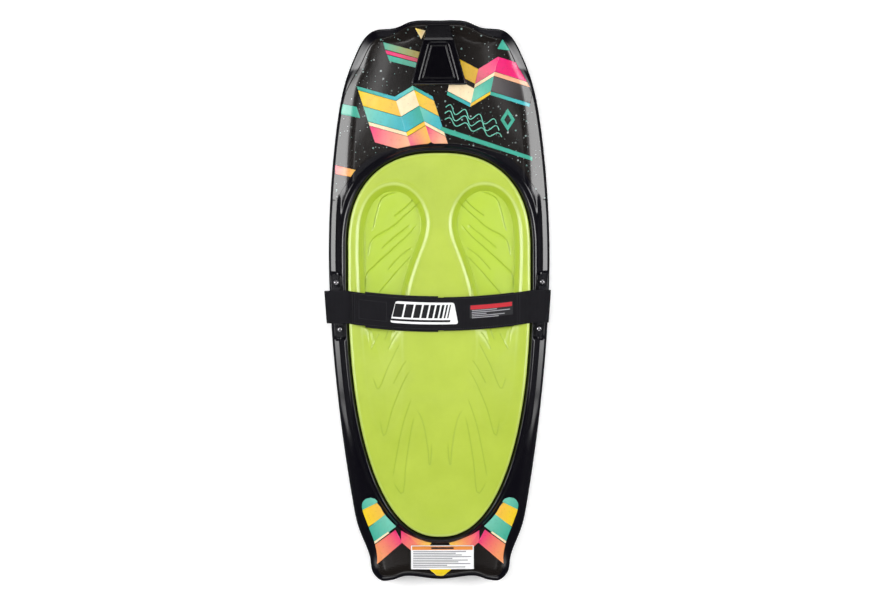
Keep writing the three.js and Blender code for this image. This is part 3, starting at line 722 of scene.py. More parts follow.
def hull_top(edge, centre, ray, lean):
    """Rows of the upper skin from the edge inward, then the pad's recess down to the centre line."""
    to_pad = reach_to_pad(edge, centre)
    touch = edge + ray * to_pad[:, None]
    pad_lean = pad_edge_lean(touch, ray)
    near_edge = mm([0.3, 0.8, 1.6, 2.6, 3.8, 5, 6.2, 7.5, 9, 11, 13, 15, 17, 19, 21, 23, 26])
    near_pad = mm([36, 33, 30, 28, 26, 23.5, 21, 18.5, 16, 14, 12.5, 11, 9.5, 8, 6.5, 5, 3.5, 2.2, 1.2])
    stations = [d / lean for d in near_edge] + [to_pad - d / pad_lean for d in near_pad]
    stations += [to_pad * share for share in np.linspace(0.06, 0.94, 26)]
    stations = np.clip(np.sort(np.array(stations), axis=0), 0.0002, (to_pad - 0.0011)[None, :])
    top = lifted(edge[None] + ray[None] * stations[..., None], top_height)
    recess = [at_height(centre, pad_floor(centre[:, 1]) - 0.0004),
              at_height(touch - ray * 0.0005, pad_floor(touch[:, 1]) - 0.0004),
              at_height(touch - ray * 0.0006, top[-1, :, 2] - 0.001)]
    return recess + list(top[::-1])


def hull_bottom(edge, centre, ray, length, lean):
    """Rows of the underside from the edge inward to the centre line."""
    stations = [d / lean for d in mm([0.4, 1.2, 2.5, 4.5, 7, 10, 14, 18, 23, 28, 34, 40, 46, 52])]
    stations += [length * share for share in np.linspace(0.24, 0.98, 26)]
    stations = np.sort(np.minimum(np.array(stations), (length * 0.985)[None]), axis=0)
    bottom = lifted(edge[None] + ray[None] * stations[..., None], bottom_height)
    return list(bottom) + [lifted(centre, bottom_height)]


def hull_shell():
    edge, centre, ray, _, lean = board_rays(-0.4, 0.2)
    rows = hull_top(edge, centre, ray, lean)
    for lift, out in ((0.002, 0.0), (0.0006, 0.0), (0.0, 0.0004), (-0.0006, 0.0), (-0.002, 0.0)):
        rows.append(at_height(edge - ray * out, rail(edge[:, 1]) + lift))
    rows += hull_bottom(*board_rays(-0.45, 0.45))
    piece(grid_object("hull_shell_skin", rows, HULL), "hull_plastic", "hull_shell")


def foam_core():
    """The filling, kept a few millimetres inside the shell."""
    skin, bottom_skin = 0.005, 0.0075
    edge, centre, ray, length = (values[::4] for values in board_rays(-0.4, 0.4)[:4])
    insets = np.array([0.008 + (length - 0.008) * share for share in np.linspace(0.0, 0.97, 18)])
    spots = edge[None] + ray[None] * insets[..., None]
    x, y = spots[..., 0], spots[..., 1]
    limit = np.where(pad_share(x, y) < 1.03, pad_floor(y) - 0.001, 1.0)
    by_bracket = (np.abs(x) > BRACKET_X - 0.035) & (np.abs(y - BRACKET_Y) < 0.11)
    limit = np.where(by_bracket, np.minimum(limit, 0.056), limit)
    bottom = bottom_height(x, y) + bottom_skin
    top = np.maximum(np.minimum(top_height(x, y), limit) - skin, bottom + 0.002)
    rows = [at_height(centre, pad_floor(centre[:, 1]) - 0.001 - skin)]
    rows += list(np.dstack([x, y, top]))[::-1] + list(np.dstack([x, y, bottom]))
    rows.append(at_height(centre, keel(centre[:, 1]) + bottom_skin))
    piece(grid_object("foam_filling", rows, CORE_FOAM), "core_foam", "foam_core")


# -------- knee pad

WELL = mm([
    (104, 270), (80, 265), (61, 253), (44, 233), (32, 204), (29, 178), (34, 149), (58, 83), (77, 16),
    (90, -80), (88, -180), (104, -280), (138, -290), (164, -200), (176, -80), (185, 40), (187, 136),
    (184, 183), (176, 214), (160, 243), (133, 264),
])
WELL_DEPTH = 0.023

# Thin moulded steps in the foam, as (distance from the centre line, y) pairs.
GROOVES = [mm(points) for points in (
    [(40, 235), (78, 201), (110, 173), (154, 146), (163, 124), (166, 99)],
    [(59, 238), (78, 219), (106, 198)],
    [(48, 183), (73, 154), (110, 121), (152, 82), (168, 66), (172, 52), (172, 26)],
    [(66, 180), (94, 158), (136, 122)],
    [(62, 127), (90, 106), (122, 71)],
    [(62, 108), (83, 87), (117, 48), (143, 17), (153, -2)],
    [(78, 44), (76, 22), (84, -12)],
    [(94, 256), (117, 250), (134, 238), (145, 208), (152, 178), (157, 160)],
    [(90, -20), (112, -52), (128, -92)],
    [(90, -94), (117, -147), (143, -203), (150, -188), (155, -172)],
    [(94, -68), (106, -85), (120, -113)],
    [(140, -72), (150, -92), (160, -112)],
    [(64, -154), (78, -176), (108, -245), (129, -312), (136, -289), (138, -268)],
    [(75, -135), (87, -152), (108, -192)],
    [(57, -247), (47, -260), (38, -284), (27, -349), (24, -382), (20, -358), (19, -322)],
    [(57, -261), (64, -287), (78, -372), (88, -447), (99, -435), (110, -414)],
    [(64, -221), (85, -284), (103, -372), (110, -412)],
)]


def along_line(line, u, v):
    """Of each point: distance to the line, the side it is on and how far along the line it lies."""
    best = np.full(u.shape, 1.0)
    side, along = np.zeros(u.shape), np.zeros(u.shape)
    for i, (a, b) in enumerate(zip(line[:-1], line[1:])):
        run = b - a
        share = np.clip(((u - a[0]) * run[0] + (v - a[1]) * run[1]) / (run @ run), 0, 1)
        dx, dy = u - a[0] - share * run[0], v - a[1] - share * run[1]
        distance = np.hypot(dx, dy)
        closer = distance < best
        best = np.where(closer, distance, best)
        side = np.where(closer, np.sign(run[0] * dy - run[1] * dx), side)
        along = np.where(closer, (i + share) / (len(line) - 1), along)
    return best, side, along


def groove_relief(across, y):
    """Depth below the foam's face: a fine cut along each line with a soft ramp on its inner side.

    The second result is 1 in the bottom of a cut and 0 away from it; it sets the painted shade in the cuts.
    """
    reach = 0.02
    relief, painted_cut_shade = np.zeros_like(y), np.zeros_like(y)
    for points in GROOVES:
        line = resample(spline(points, 8, False), 26)
        (left, rear), (right, front) = line.min(0) - reach, line.max(0) + reach
        near = (across > left) & (across < right) & (y > rear) & (y < front)
        distance, side, along = along_line(line, across[near], y[near])
        fade = window(along, 0.0, 0.10, 0.90, 1.0)
        calm = 1 - 0.65 * smooth(-y[near], 0.0, 0.10)
        cut = bell(distance, 0.0015)
        ramp = np.exp(-distance / 0.006) * (side < 0)
        relief[near] += fade * calm * (0.0012 * cut + 0.0014 * ramp)
        painted_cut_shade[near] = np.maximum(painted_cut_shade[near], fade * cut)
    return relief, painted_cut_shade


def pad_surface(x, y):
    """Height of the foam's upper face, for a grid of points, and marks for painted light: brighter wells,
    shaded cuts, lit lips.
    """
    across = np.abs(x)
    well = spline(WELL, 30, True)
    depth_in = distance_to(curve_tree(well), across, y) * np.where(inside_loop(well, across, y), 1, -1)
    full = 0.04 + 0.96 * (1 - smooth(-y, -0.05, 0.17))
    wall = 0.013 + 0.030 * smooth(-y, 0.0, 0.22)
    lip = 0.12 * np.clip((depth_in + 0.007) / 0.007, 0, 1)
    share = np.clip(depth_in / wall, 0, 1)
    dish = 0.16 * smooth(depth_in, 0.012, 0.060)
    well_share = full * (lip + 0.72 * share ** 1.15 * (1 - 0.25 * (share - share ** 2)) + dish)
    rim = 0.0006 * bell(depth_in + 0.009, 0.004) * full
    inner_line = 0.0016 * bell(depth_in - 0.0125, 0.0016) * smooth(across, 0.15, 0.165) \
        * window(-y, -0.17, -0.13, 0.0, 0.14)
    from_edge = -pad_distance(x, y)
    round_off = 0.0045 * (1 - rounded(from_edge, 0.0028)) + 0.40 * np.clip(0.0072 - from_edge, 0, None)
    relief, painted_cut_shade = groove_relief(across, y)
    height = deck(x, y) + PAD_PROUD - round_off - WELL_DEPTH * well_share + rim - inner_line - relief
    # painted highlight along the well lips and along the pad's outer edge
    painted_lip_highlight = bell(depth_in + 0.0035, 0.0030) * full + 0.6 * (from_edge < 0.006)
    # the depth mark also paints the knee wells brighter as painted light
    return height, {"depth": well_share, "line": painted_cut_shade, "lip": painted_lip_highlight}


def knee_pad():
    count, ring_count = ((1500, 190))
    outline = pad_loop(count)
    centre, ray, length = rays_inward(outline, -0.4, 0.2)
    near_edge = mm([0.25, 0.7, 1.4, 2.3, 3.5, 5, 7, 9])
    last = near_edge[-1]
    insets = [np.full(count, inset) for inset in near_edge]
    insets += [last + (length - last) * share for share in np.linspace(0, 1, ring_count)[1:]]
    spots = outline[None] + ray[None] * np.array(insets)[..., None]
    height, marks = pad_surface(spots[..., 0], spots[..., 1])
    rows = [at_height(centre, pad_floor(centre[:, 1])), at_height(outline, pad_floor(outline[:, 1])),
            at_height(outline, deck(*outline.T) + 0.0004)]
    unmarked = np.zeros((len(rows), count))
    marks = {mark: np.vstack([unmarked, values]).ravel() for mark, values in marks.items()}
    rows += list(np.concatenate([spots, height[..., None]], 2))
    piece(grid_object("knee_pad_foam", rows, PAD, marks), "pad_foam", "knee_pad")


hull_shell()
foam_core()
knee_pad()


# -------- thigh strap

WEB = 0.002
PADDING_THICKNESS = 0.0035
PATCH_THICKNESS = 0.001
LAYER_GAP = 0.0003
STRAP_LEVEL = left_strap_high.z - WEB
STRAP_LOW = left_strap_low.z
STACK = right_strap_high.z - left_strap_high.z


def strap_middle(x):
    """The strap's centre line in plan, which bows to the tail."""
    return STRAP_MIDDLE_Y + (STRAP_END_Y - STRAP_MIDDLE_Y) * np.clip(np.abs(x) / HINGE_X, 0, 1) ** 2


def lower_web(x):
    """Underside of the lower half's webbing."""
    return STRAP_LOW + (STRAP_LEVEL - STRAP_LOW) * smooth(-np.abs(x), -0.210, -0.186)


def upper_web(x):
    """Underside of the upper half's webbing, which climbs onto the lower half."""
    return lower_web(x) + STACK * (1 - smooth(x, 0.0, 0.120))


def lower_top(x):
    return lower_web(x) + WEB


def upper_top(x):
    return upper_web(x) + WEB


def cloth_section(width, thickness):
    """Closed loop of (across, height) points: flat faces, round long edges, a slightly thinner selvedge."""
    radius = thickness / 2
    across = np.linspace(-1, 1, 25) * (width / 2 - radius)
    thin = 1 - 0.16 * smooth(np.abs(across), width / 2 - 0.006, width / 2 - 0.004)
    turn = np.radians([60, 30, 0, -30, -60])
    top = np.column_stack([across, radius * thin])
    right = np.column_stack([across[-1] + radius * np.cos(turn), radius * 0.84 * np.sin(turn)])
    return np.vstack([top, right, top[::-1] * (1, -1), right[::-1] * (-1, 1)])


def band(name, spine, width, thickness, material):
    """Closed strip of cloth along a spine of (x, z) points; it bows to the tail like the whole strap."""
    step = np.gradient(spine, axis=0)
    step /= np.linalg.norm(step, axis=1)[:, None]
    section = cloth_section(width, thickness)
    across, height = section[None, :, 0], section[None, :, 1]
    x = spine[:, 0, None] - step[:, 1, None] * height
    z = spine[:, 1, None] + step[:, 0, None] * height
    y = strap_middle(spine[:, 0])[:, None] + across
    ripple = 0.00022 * np.sin(x * 95 + 3 * np.sin(y * 60)) * smooth(-np.abs(x), -0.2, -0.17)
    x = x + np.sign(x) * BRACKET_LEAN * (y - BRACKET_Y) * smooth(np.abs(x), 0.214, 0.232)
    return capped_tube(name, np.stack([x, y, z + ripple], 2), material)


def level_spine(start, end, height, count=110):
    x = np.linspace(start, end, count)
    return np.column_stack([x, height(x)])


def webbing_half(side, bulge, tip, height):
    """Webbing loop round the bracket bar running on into one half of the strap, as one strip."""
    loop = mm([(218.5, 78.9), (222.0, 77.6), (223.6, 73), (224.6, 68.2), (228, 66.2), (238, 65.9),
               (247, 66.2), (bulge - 4, 68.5), (bulge - 0.6, 73), (bulge - 1.2, 77.2), (bulge - 5, 79.3),
               (242, 79.8), (228, 79.7), (216, 79.6)])
    loop = resample(spline(loop, 12, False), 120) * (side, 1)
    flat = level_spine(side * 0.214, tip, lambda x: height(x) + WEB / 2, 200)
    return np.vstack([loop, flat])


for side, word, bulge, tip, web in ((1, "right", 256, right_strap_low.x, upper_web),
                                    (-1, "left", 264, left_strap_high.x, lower_web)):
    obj = band(f"{word}_strap_webbing", webbing_half(side, bulge, tip, web), STRAP_WIDTH, WEB, WEBBING)
    piece(obj, "webbing", f"{word}_strap", f"{word}_anchor_loop", body=None)
    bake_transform(obj)


def strap_layer(word, node, name, underside, lift, width, thickness, material, slot):
    """A strip lying above or below one half's webbing; lift goes from the underside to its middle."""
    low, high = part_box(f"{word}_strap_{node}")
    spine = level_spine(low.x, high.x, lambda x: underside(x) + lift)
    obj = band(f"{word}_strap_{name}", spine, width, thickness, material)
    piece(obj, slot, f"{word}_strap_{node}", body=f"{word}_strap_half")


under_padding = -LAYER_GAP - PADDING_THICKNESS / 2
strap_layer("left", "padding", "neoprene", lower_web, under_padding, 0.083, PADDING_THICKNESS,
            NEOPRENE, "neoprene")
strap_layer("right", "padding", "neoprene", upper_web, under_padding, 0.078, PADDING_THICKNESS,
            NEOPRENE, "neoprene")
strap_layer("left", "loop_patch", "loop_tape", lower_web, WEB + LAYER_GAP + PATCH_THICKNESS / 2, 0.070,
            PATCH_THICKNESS, LOOP_TAPE, "hook_and_loop")
strap_layer("right", "hook_patch", "hook_tape", upper_web, -LAYER_GAP - PATCH_THICKNESS / 2, 0.070,
            PATCH_THICKNESS, HOOK_TAPE, "hook_and_loop")


def stitches(name, lines, height, body):
    """Rows of thread dashes lying on the strap. Each line is (x, offset from the strap's middle) points."""
    pitch, half_length, half_width = 0.0046, 0.0016, 0.00042
    vertices, faces = [], []
    for line in lines:
        line = np.array(line, float)
        total = np.linalg.norm(np.diff(line, axis=0), axis=1).sum()
        dense = resample(line, max(int(total / pitch), 2) * 2)
        for a, b in zip(dense[0::2], dense[1::2]):
            run = (b - a) / np.linalg.norm(b - a)
            side = np.array([-run[1], run[0]]) * half_width
            start = len(vertices)
            for end, rise in ((-1.0, -0.0003), (-0.55, 0.00042), (0.55, 0.00042), (1.0, -0.0003)):
                for across, drop in ((-1, -0.0004), (0, 0.0), (1, -0.0004)):
                    x, v = (a + b) / 2 + run * half_length * end + side * across
                    vertices.append((x, strap_middle(x) + v, height(x) + rise + drop))
            faces += grid_faces(4, 3, start)
            faces += [(start, start + 2, start + 1), (start + 9, start + 10, start + 11)]
    piece(make_object(name, vertices, faces, THREAD), "webbing", body=body)


def box_line(x0, x1, v0, v1):
    return [(x0, v0), (x1, v0), (x1, v1), (x0, v1), (x0, v0)]


stitches("right_strap_stitching", [
    [(-0.198, 0.0345), (0.196, 0.0345)], [(-0.198, -0.0345), (0.196, -0.0345)],
    [(-0.1965, 0.0345), (-0.1965, -0.0345)], [(-0.1905, 0.018), (-0.1905, -0.003)],
    box_line(-0.186, -0.122, -0.022, 0.022), [(0.180, 0.0345), (0.180, -0.0345)],
    [(0.186, 0.030), (0.186, -0.030)],
], upper_top, "right_strap_half")
stitches("left_strap_stitching", [
    [(-0.196, 0.0345), (-0.202, 0.0345)], [(-0.202, 0.0345), (-0.202, -0.0345)],
    [(-0.196, -0.0345), (-0.202, -0.0345)],
], lower_top, "left_strap_half")


# -------- badge and care label

def cut_mesh(work, place, normal, clear_outer=False):
    """Cuts a flat mesh along a line, and can drop what lies on the side that the normal points to."""
    bmesh.ops.bisect_plane(work, geom=work.verts[:] + work.edges[:] + work.faces[:], plane_co=(*place, 0),
                           plane_no=(*normal, 0), clear_outer=clear_outer)


def cloth_patch(name, outlines, lift, thickness, material, slot, *nodes):
    """Flat (x, offset) shapes laid above the upper half's webbing and given a thickness."""
    step = 0.004
    work = bmesh.new()
    for outline in outlines:
        work.faces.new([work.verts.new((x, v, 0)) for x, v in outline])
    ends = [x for outline in outlines for x, _ in outline]
    for cut in np.arange(min(ends) + step, max(ends), step):
        cut_mesh(work, (cut, 0), (1, 0))
    bmesh.ops.recalc_face_normals(work, faces=work.faces)
    if work.faces[:][0].normal.z < 0:
        bmesh.ops.reverse_faces(work, faces=work.faces)
    grown = bmesh.ops.extrude_face_region(work, geom=work.faces[:], use_keep_orig=True)
    raised = {v for v in grown["geom"] if isinstance(v, bmesh.types.BMVert)}
    for vertex in work.verts:
        x, v = vertex.co.xy
        rise = lift + (thickness if vertex in raised else 0.0)
        vertex.co = (x, float(strap_middle(x)) + v, float(upper_top(x)) + rise)
    bmesh.ops.recalc_face_normals(work, faces=work.faces)
    mesh = bpy.data.meshes.new(name)
    work.to_mesh(mesh)
    work.free()
    piece(link_mesh(name, mesh, material, False), slot, *nodes, body="right_strap_half")


def round_corners(points, radius):
    """Closed outline with its corners rounded."""
    points = np.asarray(points, float)
    result = []
    for before, corner, after in zip(np.roll(points, 1, 0), points, np.roll(points, -1, 0)):
        a, b = before - corner, after - corner
        la, lb = np.linalg.norm(a), np.linalg.norm(b)
        cut = min(radius, la * 0.45, lb * 0.45)
        start, end = corner + a / la * cut, corner + b / lb * cut
        for t in np.linspace(0, 1, 5):
            result.append((1 - t) ** 2 * start + 2 * t * (1 - t) * corner + t ** 2 * end)
    return np.array(result)


def rectangle(x0, x1, y0, y1):
    return mm([(x0, y0), (x1, y0), (x1, y1), (x0, y1)])


def slanted(x0, x1, v0, v1):
    """Parallelogram that leans to the right, as the badge's motif does."""
    slope, level = 0.22, -3
    low, high = slope * (v0 - level), slope * (v1 - level)
    return mm([(x0 + low, v0), (x1 + low, v0), (x1 + high, v1), (x0 + high, v1)])


BADGE_PLATE = mm([(-114, -24), (-101, 27), (34, 26), (43.5, -24)])
BADGE_THICKNESS = 0.0012
BADGE_BARS = ((-107, -86), (-82, -64), (-60, -45), (-41, -29), (-25, -15), (-11, -3), (1, 7), (11, 15),
              (19, 22))
motif = [slanted(start, end, -10, 21) for start, end in BADGE_BARS] + [slanted(-109, 28, -19, -14)]
cloth_patch("strap_badge_border", [round_corners(BADGE_PLATE, 0.006)], 0, BADGE_THICKNESS, BADGE_WHITE,
            "badge_cloth", "strap_badge")
cloth_patch("strap_badge_motif", [round_corners(bar, 0.0011) for bar in motif], BADGE_THICKNESS, 0.0004,
            BADGE_BLACK, "badge_cloth")

LABEL_THICKNESS = 0.0005
LABEL_LINES = (58, 88, 34, 76, 62)
LABEL_PITCH = 4.1
cloth_patch("strap_care_label_backing", [round_corners(rectangle(70, 170, -12, 19), 0.002)], 0,
            LABEL_THICKNESS, LABEL_BLACK, "care_label", "strap_care_label")
cloth_patch("strap_care_label_band", [round_corners(rectangle(72, 168, 8, 17.5), 0.0015)],
            LABEL_THICKNESS, 0.0003, LABEL_RED, "care_label")
cloth_patch("strap_care_label_lines", [
    rectangle(75, 75 + length, 4.5 - LABEL_PITCH * i, 6.4 - LABEL_PITCH * i)
    for i, length in enumerate(LABEL_LINES)], LABEL_THICKNESS, 0.0002, LABEL_GREY, "care_label")


# -------- printed panels

def panel_grid(outer, inner, columns, rows):
    """Flat grid between two lines that run the same way round."""
    outer, inner = resample(outer, columns), resample(inner, columns)
    share = np.linspace(0, 1, rows)[:, None, None]
    points = outer[None] * (1 - share) + inner[None] * share
    work = bmesh.new()
    vertices = [work.verts.new((x, y, 0)) for x, y in points.reshape(-1, 2)]
    work.verts.index_update()
    for face in grid_faces(rows, columns, wrap=False):
        corners = [vertices[i] for i in face]
        work.faces.new(corners)
    bmesh.ops.remove_doubles(work, verts=work.verts, dist=1e-5)
    return work


def mirror_line(line):
    """Adds the mirrored half to a line that ends on the centre."""
    return np.vstack([line, line[:-1][::-1] * (-1, 1)])


def cut_to(grid, outline):
    """The part of a panel grid inside a convex outline; all of it where there is none."""
    work = grid.copy()
    if outline is None:
        return work
    ahead = np.roll(outline, -1, 0)
    area = np.sum(outline[:, 0] * ahead[:, 1] - ahead[:, 0] * outline[:, 1])
    ring = outline if area > 0 else outline[::-1]
    for (ax, ay), (bx, by) in zip(ring, np.roll(ring, -1, 0)):
        cut_mesh(work, (ax, ay), (by - ay, ax - bx), True)
    return work


def add_plate(work, lift, thickness, vertices, faces):
    """Lays a flat mesh on the deck as a thin plate, adds it to the lists and returns its plan points."""
    bmesh.ops.recalc_face_normals(work, faces=work.faces)
    turn = 1 if work.faces[:][0].normal.z > 0 else -1
    work.verts.index_update()
    flat = np.array([v.co[:2] for v in work.verts])
    top = lifted(flat, top_height) + (0, 0, lift)
    start, count = len(vertices), len(flat)
    vertices += np.vstack([top, top - (0, 0, thickness)]).tolist()
    for face in work.faces:
        ids = [start + v.index for v in face.verts][::turn]
        faces += [ids, [count + i for i in ids[::-1]]]
    for edge in work.edges:
        if len(edge.link_faces) == 1:
            a, b = (start + v.index for v in edge.verts)
            faces.append([a, b, count + b, count + a])
    return flat


def print_layer(grid, shapes, name, material, lift, thickness=0.00015, slot="hull_plastic", nodes=()):
    """Cuts each convex shape out of a panel grid, lays it on the deck and colours it."""
    vertices, faces, colours = [], [], []
    for level, (outline, first, last) in enumerate(shapes):
        work = cut_to(grid, outline)
        if work.faces:
            flat = add_plate(work, lift + 0.00004 * (level % 6), thickness, vertices, faces)
            share = np.zeros(len(flat))
            if outline is not None:
                run = outline[1] - outline[0]
                share = np.clip((flat - outline[0]) @ run / (run @ run), 0, 1)
            tint = first + np.outer(share, last - first)
            colours += np.vstack([tint, tint]).tolist()
        work.free()
    mesh = bpy.data.meshes.new(name)
    mesh.from_pydata(vertices, [], faces)
    rgba = np.column_stack([colours, np.ones(len(colours))])
    mesh.attributes.new("ink", "FLOAT_COLOR", "POINT").data.foreach_set("color", rgba.ravel())
    piece(link_mesh(name, mesh, material), slot, *nodes)


def ink(red, green, blue):
    """Linear colour from the printed shade as seen."""
    values = np.array([red, green, blue]) / 255
    return np.where(values > 0.04045, ((values + 0.055) / 1.055) ** 2.4, values / 12.92)


TEAL, MINT = ink(60, 168, 146), ink(112, 200, 178)
YELLOW, GOLD = ink(236, 204, 30), ink(238, 190, 70)
CREAM, PEACH = ink(245, 226, 186), ink(240, 178, 140)
PINK, MAGENTA = ink(236, 40, 120), ink(226, 20, 110)
ROSE, ORANGE = ink(232, 110, 130), ink(238, 150, 96)
OLIVE, BROWN = ink(196, 176, 96), ink(38, 34, 32)
SMOKE, SKY = ink(88, 84, 86), ink(66, 178, 190)


def nose_panel():
    """Grid of the nose print, from a line inside the board's edge to the foot of the pad's ring."""
    loop = outline_loop(4000)
    edge = loop[:len(loop) // 2 + 1]
    x, y = edge.T
    inset = 0.0058 + 0.0145 * smooth(y, 0.47, 0.57) - 0.0115 * smooth(-x, -0.135, -0.085) * (y > 0.4)
    outer = (edge + right_of(np.gradient(edge, axis=0)) * inset[:, None])[y > 0.236][::-1]
    outer[-1, 0] = 0
    rim = pad_loop(4000)
    rim = rim[(rim[:, 0] > 0) & (rim[:, 1] > PAD_FRONT_CENTRE)]
    rim = rim[np.argsort(rim[:, 1])]
    gap = 0.0215 + 0.0145 * smooth(-rim[:, 1], -0.343, -0.300)
    foot = rim + right_of(np.gradient(rim, axis=0)) * gap[:, None]
    foot = foot[foot[:, 1] > 0.318]
    side = mm([(242, 235), (231, 249), (223, 262), (213, 276), (196, 303)])
    inner = np.vstack([side, foot, [(0, foot[-1, 1])]])
    return panel_grid(mirror_line(outer), mirror_line(inner), 300, 56)


def wave(start, end, swing):
    """Thin wavy line as a run of short convex pieces."""
    turns, thickness = 3.5, 2.2
    start, end = np.array(start, float), np.array(end, float)
    run = end - start
    side = np.array([-run[1], run[0]]) / np.linalg.norm(run)
    t = np.linspace(0, 1, 40)
    middle = start + run * t[:, None] + side * (swing * np.sin(turns * 2 * math.pi * t))[:, None]
    half = right_of(np.gradient(middle, axis=0)) * thickness / 2
    upper, lower = middle - half, middle + half
    return [mm([lower[i], lower[i + 1], upper[i + 1], upper[i]]) for i in range(len(t) - 1)]


def zigzag(x, y, runs, rise, height, lean, tints):
    """Chevron stripe: slanted panels of one height that fall and climb in turn, each with two tints."""
    shapes = []
    for i, run in enumerate(runs):
        climb = rise if i % 2 else -rise
        first, last = tints[i % len(tints)]
        shapes.append((mm([(x, y), (x + run, y + climb), (x + run + lean * height, y + climb - height),
                           (x + lean * height, y - height)]), first, last))
        x, y = x + run, y + climb
    return shapes


def chevron_stack(x, top, runs, rise, lean, stripes):
    """Stripes under each other, each (height, tints), with a hairline of the dark field between them."""
    shapes, y = [], top
    for height, tints in stripes:
        shapes += zigzag(x + lean * (top - y), y, runs, rise, height, lean, tints)
        y -= height + 0.8
    return shapes


PLAIN_BLOCKS = (
    ([(-128, 600), (-40, 576), (-44, 562), (-124, 584)], TEAL, OLIVE),
    ([(-123, 582), (-44, 561), (-47, 553), (-120, 573)], PINK, ROSE),
    ([(-119, 571), (-48, 552), (-52, 541), (-114, 557)], TEAL, MINT),
    ([(-232, 462), (-190, 452), (-182, 426), (-236, 438)], MINT, TEAL),
    ([(-241, 318), (-190, 305), (-205, 290), (-241, 297)], ROSE, GOLD),
    ([(148, 606), (166, 580), (136, 584)], TEAL, TEAL),
    ([(-54, 632), (-30, 626), (-40, 606)], YELLOW, CREAM),
    ([(5, 406), (217, 335), (217, 326), (4, 394)], TEAL, TEAL),
    # hollow diamond, one mitred side at a time
    ([(160, 447), (143, 421), (152, 421), (160, 434)], TEAL, TEAL),
    ([(160, 447), (177, 421), (168, 421), (160, 434)], TEAL, TEAL),
    ([(143, 421), (160, 395), (160, 408), (152, 421)], TEAL, TEAL),
    ([(177, 421), (160, 395), (160, 408), (168, 421)], TEAL, TEAL),
)
WAVES = (((16, 450), (134, 412), 9), ((14, 436), (140, 396), 9), ((14, 422), (146, 381), 7))


def nose_ribbons():
    """Two stacks of zigzag stripes, the plain blocks and three waves."""
    shapes = chevron_stack(-190, 500, (88, 42, 46), 25, 0.32, (
        (9, ((TEAL, SKY), (SKY, MINT))),
        (36, ((YELLOW, GOLD), (CREAM, CREAM))),
        (35, ((MINT, SKY), (SKY, TEAL))),
        (9, ((CREAM, CREAM), (YELLOW, GOLD))),
        (38, ((PINK, PEACH), (ROSE, GOLD))),
    ))
    shapes += chevron_stack(38, 566, (54, 46, 92), 28, -0.22, (
        (34, ((YELLOW, GOLD), (ROSE, PINK), (MAGENTA, PINK))),
        (9, ((BROWN, BROWN), (CREAM, CREAM), (PEACH, PEACH))),
        (34, ((CREAM, CREAM), (MINT, TEAL), (SMOKE, BROWN))),
        (8, ((TEAL, SKY), (GOLD, YELLOW), (TEAL, SKY))),
    ))
    shapes += [(mm(points), first, last) for points, first, last in PLAIN_BLOCKS]
    return shapes + [(part, MINT, MINT) for line in WAVES for part in wave(*line)]


TAIL_OUTER = mm([(-161, -456), (-173, -459), (-181, -469), (-181, -483), (-167, -523), (-153, -560),
                 (-147, -590), (-146, -620), (-136, -637), (-112, -639), (-78, -631), (0, -638)])
TAIL_INNER = mm([(-161, -456), (-150, -460), (-143, -470), (-130, -493), (-106, -519), (-88, -534),
                 (-50, -552), (-20, -561), (0, -562)])
TAIL_RIBBONS = [
    ([(-186, -489), (-146, -467), (-140, -440), (-190, -440)], TEAL, MINT),
    ([(-184, -486), (-147, -468), (-124, -495), (-170, -526)], YELLOW, GOLD),
    ([(-170, -528), (-128, -495), (-100, -521), (-153, -562)], TEAL, MINT),
    ([(-155, -559), (-121, -535), (-118, -538), (-153, -564)], CREAM, CREAM),
    ([(-153, -566), (-104, -531), (-88, -560), (-148, -611)], ORANGE, MAGENTA),
    ([(-91, -530), (-40, -575), (-66, -580), (-91, -559)], MAGENTA, ORANGE),
    ([(-91, -530), (-20, -560), (-26, -572), (-60, -575), (-80, -553)], PINK, GOLD),
]


def tail_ribbons():
    """Diagonal stripes on both sides and a small block in the middle of the tail."""
    shapes = [(mm(points), first, last) for points, first, last in TAIL_RIBBONS]
    shapes += [(points * (-1, 1), first, last) for points, first, last in shapes]
    return shapes + [(mm([(-26, -622), (26, -622), (4, -640), (-4, -640)]), YELLOW, YELLOW)]


def tail_panel():
    outer, inner = (mirror_line(spline(line, 12, False)) for line in (TAIL_OUTER, TAIL_INNER))
    return panel_grid(outer, inner, 220, 40)


for word, grid, dark, ribbons in (("nose", nose_panel(), NOSE_DARK, nose_ribbons()),
                                  ("tail", tail_panel(), TAIL_DARK, tail_ribbons())):
    print_layer(grid, [(None, BROWN, BROWN)], f"{word}_print_ground", dark, 0.0002)
    print_layer(grid, ribbons, f"{word}_print_ribbons", PRINT_INK, 0.0004)
    grid.free()


# -------- tail label

def label_part(name, outline, material, lift, thickness, *nodes):
    """Thin part of the tail label, laid on the deck."""
    step = 0.004
    (left, rear), (right, front) = np.min(outline, 0), np.max(outline, 0)
    columns, rows = int((right - left) / step) + 2, int((front - rear) / step) + 2
    outer, inner = (np.array([(left, y), (right, y)]) for y in (front, rear))
    grid = panel_grid(outer, inner, columns, rows)
    print_layer(grid, [(outline, CREAM, CREAM)], f"tail_label_{name}", material, lift, thickness,
                "label_film", nodes)
    grid.free()


label_low, label_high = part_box("tail_label")


def label_box(x0, x1, y0, y1):
    """Rectangle on the label, in millimetres from its upper left corner."""
    left, top = label_low.x / MM, label_high.y / MM
    return rectangle(left + x0, left + x1, top - y1, top - y0)


